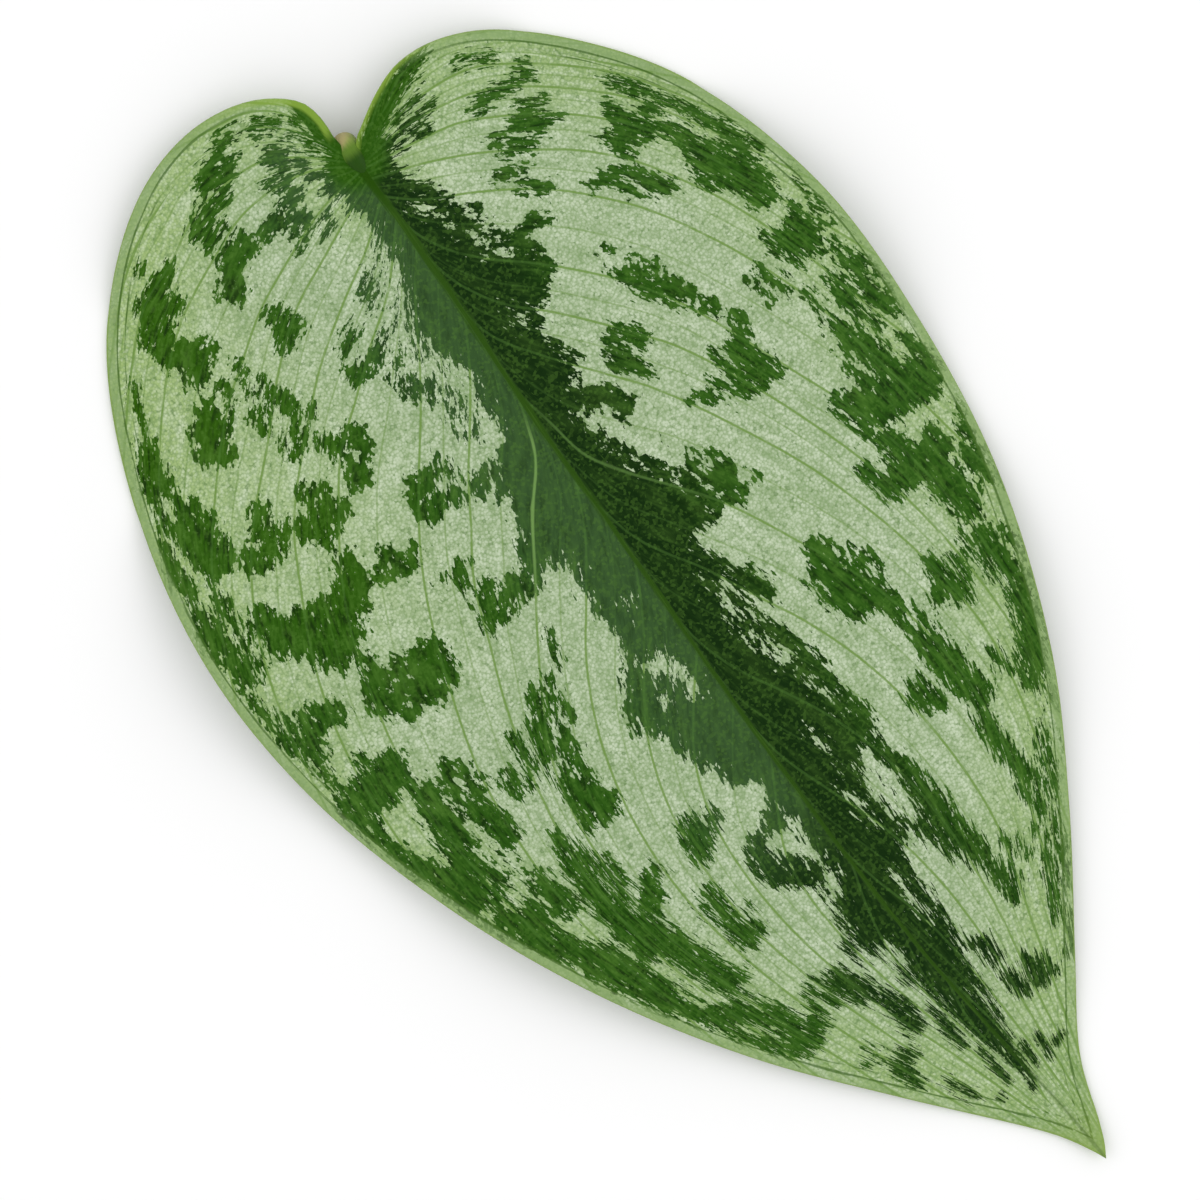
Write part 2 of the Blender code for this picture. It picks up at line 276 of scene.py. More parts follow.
class VeinFamily:
    """The veins of one half, numbered from 0 in the notch to the last at the tip."""

    def __init__(self, veins, margin):
        middle = [self.even(smooth_path([(midrib_x(start), start), *points])) for start, points in veins]
        ends = [np.full((POINTS_A_VEIN, 2), point) for point in (PETIOLE_TOP, TIP)]
        self.margin = margin
        self.shapes = np.array([ends[0], *middle, ends[1]])
        self.starts = np.array([PETIOLE_TOP[1], *[start for start, _ in veins], TIP[1]])
        reached = [nearest_length(margin, points[-1]) for _, points in veins]
        self.reached = np.array([0.0, *reached, lengths_along(margin)[-1]])
        self.last = len(veins) + 1

    @staticmethod
    def even(path):
        return at_length(path, np.linspace(0, lengths_along(path)[-1], POINTS_A_VEIN))

    def blend(self, table, number):
        """A smooth blend of a table's rows that never overshoots them, for one number."""
        i = min(int(number), self.last - 1)
        t = number - i
        steps = np.diff(table, axis=0)
        tangents = [self.tangent(steps, k) for k in (i, i + 1)]
        return (
            table[i] * (1 + 2 * t) * (1 - t) ** 2
            + tangents[0] * t * (1 - t) ** 2
            + table[i + 1] * t**2 * (3 - 2 * t)
            - tangents[1] * t**2 * (1 - t)
        )

    def tangent(self, steps, k):
        if k == 0 or k == self.last:
            return steps[min(k, self.last - 1)]
        before, after = steps[k - 1], steps[k]
        same_way = before * after > 0
        total = np.where(same_way, before + after, 1.0)
        return np.where(same_way, 2 * before * after / total, 0.0)

    def vein(self, number):
        """Points of one vein, from its place on the midrib to its place on the margin."""
        shape = self.blend(self.shapes, number)
        start = self.blend(self.starts, number)
        end = at_length(self.margin, self.blend(self.reached, number))
        share = np.linspace(0, 1, POINTS_A_VEIN)[:, None]
        shape = shape + (np.array([midrib_x(start), start]) - shape[0]) * (1 - share) ** 4
        return shape + (end - shape[-1]) * share**4


WIDE = VeinFamily(WIDE_VEINS, WIDE_MARGIN)
NARROW = VeinFamily(NARROW_VEINS, NARROW_MARGIN)
print("main veins:", len(WIDE_VEINS), "in the wide half and", len(NARROW_VEINS), "in the narrow half")

# %% [markdown]
# ## A mesh whose rows are veins
#
# A blade could be cut out of a square grid, and its veins drawn on it. But a grid that follows the veins
# holds a shallow rib or a torn silver edge with far fewer faces, and each point of it knows which vein
# it is on and how far along. Both halves share the points on the midrib, so their rows have to leave it
# in step. The rows stand closest where the veins lie closest.

# %% Choose the rows
ROWS = 250
COLUMNS = 148
UNDER_COLUMNS = 30
TRIES = 1600
FINE_NUMBERS = 6000


def numbers_at(family, starts):
    fine = np.linspace(0, family.last, FINE_NUMBERS)
    return np.interp(starts, [float(family.blend(family.starts, n)) for n in fine], fine)


def row_starts():
    """Places on the midrib that keep the widest gap between neighbouring rows the same."""
    numbers = np.linspace(0, WIDE.last, TRIES)
    starts = np.array([float(WIDE.blend(WIDE.starts, n)) for n in numbers])
    wide = np.array([WIDE.vein(n) for n in numbers])
    narrow = np.array([NARROW.vein(n) for n in numbers_at(NARROW, starts)])
    steps = [np.linalg.norm(np.diff(half, axis=0), axis=2).max(axis=1) for half in (wide, narrow)]
    travelled = np.concatenate([[0.0], np.cumsum(np.maximum(*steps))])
    even = np.interp(np.linspace(0, travelled[-1], ROWS + 1), travelled, numbers)
    return np.array([float(WIDE.blend(WIDE.starts, n)) for n in even]), even


STARTS, WIDE_NUMBERS = row_starts()
NARROW_NUMBERS = numbers_at(NARROW, STARTS)
print("rows:", ROWS, "- the first ten leave the midrib at", np.round(STARTS[:10], 2))

# %% [markdown]
# ## The rim
#
# The blade's edge is rounded, so the last columns of each row crowd together where the two faces curve
# to meet. A row that reaches the margin at a shallow angle needs a longer run for the same width of rim.

# %% Columns of a row
RIM = 0.45
RIM_STEPS = np.array([0.0, 0.08, 0.28, 0.6, 1.0])
MIDRIB_STEPS = np.array([0.0, 0.15, 0.32, 0.52, 0.78, 1.1, 1.5])
KEEL_STEPS = np.array([0.0, 0.25, 0.55, 0.9, 1.3, 1.8, 2.6])
SHALLOWEST = 0.16
LONGEST_SHARE = 0.2


def sine_between(a, b):
    """Sine of the angle at which two directions meet, kept above that of the shallowest meeting."""
    size = max(np.linalg.norm(a) * np.linalg.norm(b), 1e-9)
    return max(abs(a[0] * b[1] - a[1] * b[0]) / size, SHALLOWEST)


def direction_at(path, where):
    return at_length(path, where + 0.5) - at_length(path, where - 0.5)


def columns_of(vein, midrib_direction, margin_direction, near_steps, count):
    """Distances along one vein: close at the midrib, even in between, and close again inside the rim."""
    length = lengths_along(vein)[-1]
    leaving = sine_between(vein[3] - vein[0], midrib_direction)
    near = near_steps * min(1 / leaving, LONGEST_SHARE * length / near_steps[-1])
    arriving = sine_between(vein[-1] - vein[-6], margin_direction)
    rim = min(RIM / arriving, LONGEST_SHARE * length) * (1 - RIM_STEPS)
    between = np.linspace(near[-1], length - rim[0], count + 3 - len(near) - len(rim))
    return np.concatenate([near[:-1], between, length - rim[1:]])


def half_grid(family, numbers, near_steps, count):
    """Plan place and distance along its vein for every point of one half."""
    places, along = [], []
    for number in numbers:
        vein = family.vein(number)
        start = nearest_length(MIDRIB_PATH, vein[0])
        end = float(family.blend(family.reached, number))
        where = columns_of(vein, direction_at(MIDRIB_PATH, start), direction_at(family.margin, end),
                           near_steps, count)
        places.append(at_length(vein, where))
        along.append(where)
    return np.array(places), np.array(along)


SHEETS = []
for family, numbers, hand in ((WIDE, WIDE_NUMBERS, 1), (NARROW, NARROW_NUMBERS, -1)):
    for face, near_steps, count in (("upper", MIDRIB_STEPS, COLUMNS), ("under", KEEL_STEPS, UNDER_COLUMNS)):
        places, along = half_grid(family, numbers, near_steps, count)
        number = np.repeat(numbers[:, None], places.shape[1], axis=1)
        SHEETS.append({"family": family, "hand": hand, "face": face, "places": places, "along": along,
                       "number": number})
        print(face, "face, hand", hand, "-", places.shape[0], "rows of", places.shape[1], "points")

# %% [markdown]
# ## Distances
#
# The rim, the midrib's groove and the markings all need to know how far a point is from some line. One
# function gives that for any chain of points, and it also lets a chain be thick: each point has a
# radius, so the same function measures the inside of a painted stroke.

# %% Distance to a chain
FAR_OUTSIDE = -1e9


def inside_chain(places, chain):
    """How far each place is inside a chain of points with radii: positive inside, negative outside."""
    chain = np.array(chain, float)
    if len(chain) == 1:
        return chain[0, 2] - np.linalg.norm(places - chain[0, :2], axis=1)
    deepest = np.full(len(places), FAR_OUTSIDE)
    for a, b in zip(chain[:-1], chain[1:]):
        step = b[:2] - a[:2]
        t = np.clip((places - a[:2]) @ step / max(step @ step, 1e-12), 0.0, 1.0)
        away = np.linalg.norm(places - a[:2] - t[:, None] * step, axis=1)
        deepest = np.maximum(deepest, a[2] + (b[2] - a[2]) * t - away)
    return deepest


def distance_to(places, path):
    return -inside_chain(places, np.column_stack([path, np.zeros(len(path))]))


for sheet in SHEETS:
    flat = sheet["places"].reshape(-1, 2)
    shape = sheet["along"].shape
    margin = np.minimum(distance_to(flat, WIDE_MARGIN), distance_to(flat, NARROW_MARGIN))
    sheet["edge"] = margin.reshape(shape)
    sheet["rib"] = distance_to(flat, MIDRIB_PATH).reshape(shape) * sheet["hand"]
    sheet["notch"] = np.linalg.norm(flat - PETIOLE_TOP, axis=1).reshape(shape)
widest = [round(float(np.abs(sheet["rib"]).max()), 1) for sheet in SHEETS[::2]]
print("widest places from the midrib, mm:", widest)

# %% [markdown]
# ## How far apart the veins lie
#
# A streak in the silver is about as wide as the gap between two veins allows. So each point also gets
# the width, in millimetres, of one step from vein to vein where it is. Where the veins crowd together at
# the petiole and the tip, the streaks grow fine by themselves.

# %% Gap between neighbouring main veins
SMALLEST_STEP = 1e-6


def gaps(sheet):
    """Millimetres across the veins for a step of one in their number."""
    places, number = sheet["places"], sheet["number"]
    rows_apart = np.gradient(number, axis=0)
    step = np.gradient(places, axis=0) / np.maximum(rows_apart, SMALLEST_STEP)[..., None]
    heading = np.gradient(places, axis=1)
    heading = heading / np.maximum(np.linalg.norm(heading, axis=2), SMALLEST_STEP)[..., None]
    return np.abs(step[..., 0] * heading[..., 1] - step[..., 1] * heading[..., 0])


for sheet in SHEETS:
    sheet["gap"] = gaps(sheet)
    middle_gap = round(float(np.median(sheet["gap"])), 1)
    print(sheet["face"], "gap between main veins, mm: middle value", middle_gap)

# %% [markdown]
# ## Thickness and relief
#
# The blade is 0.7 mm thick with a rounded rim. Above, it swells slightly between the veins and the
# midrib lies in a fine groove. Below, the midrib stands out as a keel that tapers towards the tip. A
# Solidify modifier would give an even sheet with a square edge, so the two faces are worked out point by
# point instead.

# %% Relief of both faces
SLOPE_STEP = 0.05
SWELL = 0.11
SWELL_FULL_GAP = 3.0
SWELL_FULL_EDGE = 3.0
SWELL_FULL_RIB = 4.0
GROOVE_DEPTH = 0.22
GROOVE_HALF_WIDTHS = [(0.0, 0.75), (60.0, 0.45), (150.0, 0.3)]
KEEL = [(5.0, 1.3), (30.0, 1.0), (70.0, 0.75), (112.0, 0.5), (126.0, 0.2), (151.0, 0.15)]
KEEL_COVER = 0.12
KEEL_START = 2.5
UNDER_RIDGE = 0.05


def up_direction(x, y):
    """Unit normal of the smooth upper face."""
    slope_x = (height(x + SLOPE_STEP, y) - height(x - SLOPE_STEP, y)) / (2 * SLOPE_STEP)
    slope_y = (height(x, y + SLOPE_STEP) - height(x, y - SLOPE_STEP)) / (2 * SLOPE_STEP)
    normal = np.stack([-slope_x, -slope_y, np.ones_like(slope_x)], axis=-1)
    return normal / np.linalg.norm(normal, axis=-1, keepdims=True)


def table_at(y, pairs):
    pairs = np.array(pairs)
    return np.interp(y, pairs[:, 0], pairs[:, 1])


def rounding(edge):
    """0 at the rim and 1 where the blade has its full thickness, along a quarter of a circle."""
    return np.sqrt(1 - (1 - np.clip(edge / RIM, 0, 1)) ** 2)


def swelling(sheet):
    """1 halfway between two main veins and 0 on them. It fades at the midrib and the margin."""
    part = sheet["number"] % 1.0
    between = 1 - np.abs(2 * part - 1) ** 2
    fade = np.clip(sheet["gap"] / SWELL_FULL_GAP, 0, 1) * np.clip(sheet["edge"] / SWELL_FULL_EDGE, 0, 1)
    return between * fade * np.clip(np.abs(sheet["rib"]) / SWELL_FULL_RIB, 0, 1)


def upper_depth(sheet):
    """How far the upper face lies below the smooth height, along its normal."""
    groove = GROOVE_DEPTH * np.exp(-(sheet["groove"] ** 2))
    inside = rounding(sheet["edge"])
    return BLADE_THICKNESS / 2 * (1 - inside) + inside * (groove - SWELL * swelling(sheet))


def under_depth(sheet):
    """The same for the under face, with the keel and the fine ridges of the veins."""
    radius = table_at(sheet["places"][..., 1], KEEL)
    stands_out = np.maximum(KEEL_COVER + 2 * radius - BLADE_THICKNESS, 0)
    keel = stands_out / (1 + (sheet["rib"] / radius) ** 4) * rounding(sheet["edge"] / KEEL_START)
    inside = rounding(sheet["edge"])
    ridge = UNDER_RIDGE * (1 - swelling(sheet)) * inside
    return BLADE_THICKNESS / 2 * (1 + inside) + keel + ridge - UNDER_RIDGE * inside


def solid_points(sheet):
    x, y = sheet["places"][..., 0], sheet["places"][..., 1]
    depth = upper_depth(sheet) if sheet["face"] == "upper" else under_depth(sheet)
    surface = np.stack([x, y, height(x, y)], axis=-1) - up_direction(x, y) * depth[..., None]
    surface[..., 2] = np.maximum(surface[..., 2], 0.0)
    return surface


for sheet in SHEETS:
    sheet["groove"] = np.abs(sheet["rib"]) / table_at(sheet["places"][..., 1], GROOVE_HALF_WIDTHS)
    sheet["points"] = solid_points(sheet)
    heights = sheet["points"][..., 2]
    print(sheet["face"], "heights, mm:", np.round([heights.min(), heights.max()], 2))

# %% [markdown]
# ## Where the green shows
#
# The silver isn't printed on: it is missing along the midrib, along parts of the margin and in torn
# islands between. Each of those places is drawn here as a stroke, a chain of points with a radius,
# the way one would dab them on with a brush. The strokes only say roughly where green is. Their torn
# edges come from the material, which pulls them out along the veins. Painting an image would fix
# the detail at one size, and strokes stay sharp at any.

# %% Green along the midrib
WIDE_HEART = [
    (2.6, -1.5), (4.2, 1.0), (4.6, 2.6), (5.9, 3.6), (5.4, 4.6), (3.7, 5.2), (4.1, 6.2), (4.5, 7.2),
    (3.4, 8.4), (3.3, 10.5), (4.7, 12.0), (3.5, 13.8), (3.8, 16.5), (4.6, 18.5), (6.0, 20.2), (7.6, 21.8),
    (8.2, 24.5), (6.5, 27.5), (4.7, 29.5), (4.5, 31.5), (5.9, 35.0), (5.1, 38.0), (6.2, 40.2), (9.0, 42.0),
    (11.5, 43.0), (10.3, 44.5), (10.0, 47.0), (11.5, 49.5), (13.3, 52.0), (14.0, 54.0), (9.0, 55.0),
    (8.6, 57.5), (9.8, 61.5), (9.0, 64.0), (9.2, 66.5), (10.3, 69.0), (12.2, 71.0), (13.6, 74.0),
    (14.3, 77.0), (12.0, 78.8), (11.3, 81.0), (10.2, 84.0), (9.6, 87.0), (8.0, 88.5), (6.4, 90.0),
    (5.8, 92.0), (7.2, 93.5), (6.8, 96.0), (5.6, 99.0), (5.0, 103.5), (6.5, 106.0), (8.0, 108.0),
    (8.7, 111.5), (8.3, 113.3), (5.6, 114.2), (5.0, 117.0), (5.2, 122.0), (4.4, 126.0), (3.7, 130.0),
    (2.8, 133.0), (2.1, 136.0), (1.5, 138.5),
]
NARROW_HEART = [
    (-2.2, 1.0), (-3.8, 2.2), (-5.5, 3.2), (-3.2, 4.6), (-2.8, 6.5), (-4.0, 9.5), (-5.3, 12.0),
    (-6.3, 14.5), (-7.3, 17.0), (-8.5, 19.0), (-10.0, 21.5), (-10.9, 24.0), (-10.6, 26.8), (-9.5, 28.6),
    (-6.8, 29.6), (-5.0, 31.5), (-5.7, 34.5), (-6.0, 38.0), (-4.5, 40.5), (-3.2, 43.0), (-2.9, 46.0),
    (-3.6, 49.5), (-5.0, 52.5), (-7.0, 56.0), (-10.0, 58.3), (-13.0, 60.3), (-9.0, 61.6), (-4.8, 62.2),
    (-5.0, 64.2), (-6.2, 66.4), (-3.6, 68.6), (-2.4, 71.0), (-2.9, 75.0), (-4.2, 80.0), (-5.5, 85.0),
    (-6.6, 89.0), (-9.0, 92.3), (-6.8, 93.8), (-4.0, 95.2), (-3.4, 98.0), (-4.0, 102.5), (-5.0, 104.2),
    (-2.6, 106.5), (-1.6, 109.5), (-1.9, 113.5), (-2.2, 118.0), (-0.7, 121.0), (-0.4, 125.0), (-0.3, 129.5),
    (0.5, 131.0), (0.8, 134.5), (1.2, 138.5),
]

# %% Green strokes of the wide half
WIDE_GREEN = [
    [(17.5, 14.5, 0.9), (18.6, 14.2, 1.8), (19.9, 15.0, 0.8)], [(18.5, 13.0, 1.3), (19.2, 11.7, 0.9)],
    [(8.3, 8.0, 0.35), (7.2, 7.1, 0.25)], [(20.5, 7.0, 0.3), (21.7, 8.3, 0.35)],
    [(7.0, 6.0, 0.25), (12.0, 6.6, 0.35)], [(9.5, 4.5, 0.7), (12.0, 5.3, 0.7)],
    [(8.5, 1.7, 0.8), (10.3, 2.0, 0.7)],
    [(11.5, 2.8, 0.5), (16.0, 3.5, 0.8), (19.5, 4.0, 1.6), (21.8, 6.0, 0.8)],
    [(16.5, 2.2, 0.5), (20.0, 2.8, 0.9)],
    [(20.3, 0.5, 0.7), (20.0, -1.3, 1.5), (18.0, -3.3, 0.9), (15.5, -3.0, 0.7)],
    [(17.5, -0.3, 0.5), (19.5, 0.2, 0.8)], [(14.7, -5.8, 2.0), (16.5, -5.5, 1.2)],
    [(8.8, -0.2, 0.9), (10.2, -0.8, 0.5)], [(7.6, -3.3, 1.5), (8.0, -1.5, 1.0)],
    [(7.2, -7.0, 1.2), (5.5, -6.5, 0.8)], [(3.3, -5.3, 0.7)], [(3.4, -1.2, 1.0), (3.6, -3.2, 0.7)],
    [(9.7, -8.6, 0.5), (11.5, -9.0, 0.3), (12.3, -8.0, 0.4)], [(11.5, -6.0, 0.3), (12.5, -5.6, 0.35)],
    [(31.0, 12.0, 1.4), (29.3, 10.0, 2.2), (31.8, 8.0, 1.6), (31.8, 5.0, 1.7), (30.0, 2.4, 2.0),
     (28.0, 0.6, 1.4), (25.8, -0.3, 0.7)], [(28.0, 3.4, 1.3), (30.0, 3.2, 1.5)],
    [(28.3, -3.0, 0.3), (28.8, -1.5, 0.25)],
    [(33.5, 21.5, 1.3), (34.5, 19.5, 1.6), (33.5, 18.0, 2.3), (32.0, 15.5, 1.0)],
    [(31.0, 18.8, 0.5), (28.6, 15.0, 0.4)], [(25.5, 24.5, 1.4), (26.8, 26.0, 0.8)],
    [(24.0, 21.3, 1.1), (25.5, 17.5, 1.0)], [(27.5, 20.5, 1.3), (28.2, 22.0, 0.7)],
    [(22.4, 23.2, 0.5), (24.5, 22.8, 0.6)], [(27.2, 17.2, 0.6), (26.0, 13.8, 0.5)],
    [(22.8, 33.8, 1.0), (21.5, 31.0, 1.3), (19.8, 28.8, 1.4), (22.0, 28.5, 1.2), (23.3, 27.5, 1.1)],
    [(27.0, 34.5, 1.1), (29.5, 34.5, 2.4), (31.0, 34.0, 1.0)], [(28.5, 31.0, 1.1), (29.2, 33.0, 1.2)],
    [(26.2, 31.7, 0.4), (27.6, 33.6, 0.5)], [(33.0, 32.5, 0.8), (36.5, 33.8, 1.3), (38.5, 33.5, 1.2)],
    [(36.0, 31.0, 1.3), (34.0, 29.0, 1.0)], [(42.0, 30.5, 2.3), (42.5, 26.5, 2.1), (41.0, 23.5, 1.2)],
    [(40.0, 28.5, 0.7), (40.3, 23.0, 0.6)], [(44.0, 24.5, 0.7), (44.0, 22.5, 0.7)],
    [(46.2, 31.3, 1.1), (46.8, 28.0, 0.8), (45.8, 25.5, 0.5)],
    [(43.5, 20.5, 0.8), (42.0, 19.5, 1.4), (41.5, 17.0, 1.5), (40.5, 15.0, 0.8)],
    [(39.5, 12.5, 0.25), (37.5, 8.0, 0.3)], [(12.5, 18.5, 0.4), (15.0, 20.0, 0.5)],
    [(10.0, 21.5, 0.7), (13.0, 23.5, 0.8), (15.5, 23.0, 1.0)], [(7.4, 14.4, 0.4), (9.6, 17.2, 0.5)],
    [(8.0, 16.8, 0.4)], [(14.2, 41.8, 0.8), (16.5, 41.0, 1.2), (18.5, 41.3, 1.1)],
    [(19.0, 40.0, 0.8), (17.3, 37.5, 1.0), (15.5, 37.6, 0.7)], [(17.0, 39.5, 1.0)],
    [(13.3, 39.0, 0.5), (13.6, 37.0, 0.4)], [(10.0, 41.3, 0.8), (12.5, 42.3, 0.7)],
    [(13.5, 54.3, 1.5), (17.0, 55.0, 1.5), (20.5, 56.0, 0.9)], [(19.6, 54.2, 1.0), (18.0, 52.5, 0.9)],
    [(20.3, 50.3, 0.8), (19.0, 48.5, 0.7)], [(20.0, 49.0, 0.6), (21.8, 48.6, 0.4)],
    [(23.0, 44.5, 1.0), (25.5, 44.5, 1.2), (27.0, 43.5, 1.0)], [(22.0, 43.3, 0.5)], [(25.3, 42.2, 0.7)],
    [(29.3, 39.8, 1.0), (31.0, 43.2, 2.1), (34.0, 45.0, 2.4), (37.0, 46.8, 2.6), (39.3, 44.0, 2.4)],
    [(35.5, 42.8, 1.4), (38.5, 43.0, 1.7), (41.2, 42.0, 2.5), (42.0, 39.8, 1.7), (44.5, 41.8, 2.3),
     (47.0, 40.5, 1.8)], [(36.8, 49.2, 1.1), (33.6, 47.5, 0.8)],
    [(47.0, 43.5, 1.5), (47.5, 38.0, 1.5), (47.6, 34.5, 0.7)], [(34.9, 50.0, 0.4), (34.0, 53.5, 0.35)],
    [(48.2, 46.0, 0.5), (48.4, 50.0, 0.4)],
    [(28.0, 57.5, 1.6), (31.0, 58.0, 1.8), (34.0, 57.2, 2.0), (36.0, 55.5, 1.8), (35.5, 53.0, 1.2)],
    [(27.5, 54.2, 1.3), (30.0, 55.0, 1.5), (32.0, 54.0, 1.3), (32.5, 56.5, 1.5)],
    [(33.6, 54.0, 0.8), (34.5, 55.5, 1.0)],
    [(41.5, 53.5, 1.4), (44.0, 53.0, 1.3), (46.5, 55.3, 1.5), (48.0, 53.0, 1.1), (47.0, 50.5, 0.7)],
    [(43.8, 51.2, 0.8)], [(40.0, 63.0, 2.2), (44.0, 63.5, 2.6), (46.5, 64.5, 1.5)], [(42.3, 60.0, 0.8)],
    [(46.8, 60.0, 0.4), (46.3, 57.5, 0.4)], [(45.0, 74.0, 1.3), (46.3, 69.0, 0.9), (47.3, 62.0, 0.8)],
    [(39.8, 77.5, 1.6), (38.8, 73.0, 2.0), (38.5, 67.5, 1.8)],
    [(34.0, 77.0, 1.5), (33.8, 72.5, 1.0), (33.0, 67.3, 0.8)],
    [(35.6, 74.5, 0.8), (36.2, 69.0, 0.5), (34.8, 66.5, 0.7)],
    [(42.0, 78.5, 2.4), (40.5, 83.5, 2.3), (39.0, 88.0, 1.7), (36.5, 91.5, 1.8)],
    [(38.3, 82.5, 1.2), (38.0, 79.5, 0.8)], [(37.5, 87.5, 2.0), (34.0, 87.0, 2.1), (34.0, 83.5, 1.4)],
    [(28.5, 97.0, 2.6), (29.0, 92.5, 1.8), (29.5, 88.5, 1.7)],
    [(29.5, 87.5, 1.4), (29.0, 84.0, 1.7), (29.2, 80.8, 0.7)], [(26.4, 90.0, 0.6), (26.0, 86.0, 0.4)],
    [(21.0, 66.0, 0.8), (23.0, 69.0, 1.2), (25.0, 73.0, 1.0)], [(26.0, 68.5, 0.6), (27.8, 74.0, 0.6)],
    [(18.8, 65.2, 0.5), (19.8, 70.5, 0.6)], [(16.8, 64.5, 0.25), (15.8, 60.8, 0.2)],
    [(22.7, 75.8, 0.8), (22.4, 73.0, 0.5)], [(23.5, 80.0, 2.0), (24.0, 77.0, 1.6)],
    [(22.0, 81.5, 1.2), (25.0, 82.0, 1.0)], [(29.5, 71.5, 0.8), (30.0, 74.0, 0.6)],
    [(17.0, 92.5, 1.2), (15.0, 91.0, 1.0), (13.0, 90.0, 0.8)], [(16.0, 89.0, 1.2), (16.5, 91.0, 1.0)],
    [(14.2, 88.0, 0.4)], [(24.0, 93.0, 1.5), (22.5, 91.0, 0.8)], [(25.5, 93.5, 0.9), (26.3, 96.0, 0.8)],
    [(7.0, 102.8, 0.9), (8.6, 102.0, 1.5), (11.0, 99.5, 1.8), (11.5, 97.0, 1.4), (9.5, 95.5, 1.5),
     (7.0, 95.0, 1.0)], [(16.3, 103.3, 0.6), (18.5, 104.0, 1.2), (19.0, 100.0, 1.0), (18.6, 96.5, 0.6)],
    [(16.2, 101.0, 0.3)],
    [(21.3, 107.0, 0.8), (23.5, 106.5, 1.5), (24.5, 103.0, 1.7), (25.8, 100.0, 1.9), (27.0, 97.0, 1.6)],
    [(21.3, 113.5, 1.5), (23.5, 110.5, 1.7), (26.5, 109.6, 1.2), (29.5, 105.5, 1.4), (31.0, 101.5, 2.2),
     (32.5, 97.5, 2.6), (35.0, 93.5, 1.9)], [(21.8, 118.3, 0.8), (23.5, 115.8, 0.7), (26.0, 112.3, 0.7)],
    [(11.0, 117.0, 1.5), (13.0, 114.5, 1.6)], [(14.5, 115.8, 0.9), (15.4, 113.0, 0.9)],
    [(9.5, 113.5, 0.3), (9.3, 111.5, 0.3)], [(17.2, 114.0, 0.5), (16.5, 116.3, 0.7)],
    [(18.0, 117.0, 1.3), (20.0, 118.0, 1.4), (20.8, 115.5, 1.3)],
    [(8.7, 124.0, 1.1), (9.0, 121.0, 1.1), (9.5, 118.8, 0.5)],
    [(5.6, 129.2, 0.5), (5.7, 126.5, 0.7), (5.9, 123.5, 0.35)], [(5.6, 119.5, 0.5), (6.0, 117.5, 0.3)],
    [(12.5, 129.8, 0.5), (13.3, 127.2, 0.8), (11.0, 126.5, 0.6)], [(11.6, 125.3, 0.4)],
    [(15.8, 124.3, 0.6)], [(13.8, 126.0, 0.3), (15.0, 123.0, 0.2)],
    [(3.8, 136.0, 0.35), (4.0, 133.3, 0.45), (4.1, 131.0, 0.3)], [(2.1, 139.0, 0.15), (1.8, 137.0, 0.3)],
    [(5.4, 137.0, 0.4)], [(8.2, 134.8, 0.4), (9.6, 131.6, 0.2)], [(20.6, 99.0, 0.3), (20.3, 97.0, 0.3)],
    [(8.3, 33.5, 0.8), (9.5, 30.0, 1.2), (11.3, 27.5, 1.2), (13.0, 26.0, 0.7)],
    [(7.6, 36.5, 0.5), (8.8, 34.5, 0.5)], [(43.5, 75.5, 1.6), (45.0, 73.0, 0.8)],
    [(20.5, 68.0, 0.5), (21.5, 73.0, 0.7), (22.0, 77.0, 0.6)], [(27.0, 86.0, 0.5), (27.2, 92.0, 0.6)],
    [(7.3, 107.0, 0.5), (7.8, 103.5, 0.4)], [(7.4, 114.5, 0.5), (7.6, 110.5, 0.4)],
    [(5.6, 1.6, 0.7), (6.0, -1.5, 0.5)], [(5.2, -4.0, 0.8)], [(44.8, 38.5, 0.8), (44.5, 34.5, 0.8)],
    [(37.0, 80.5, 0.9)],
]

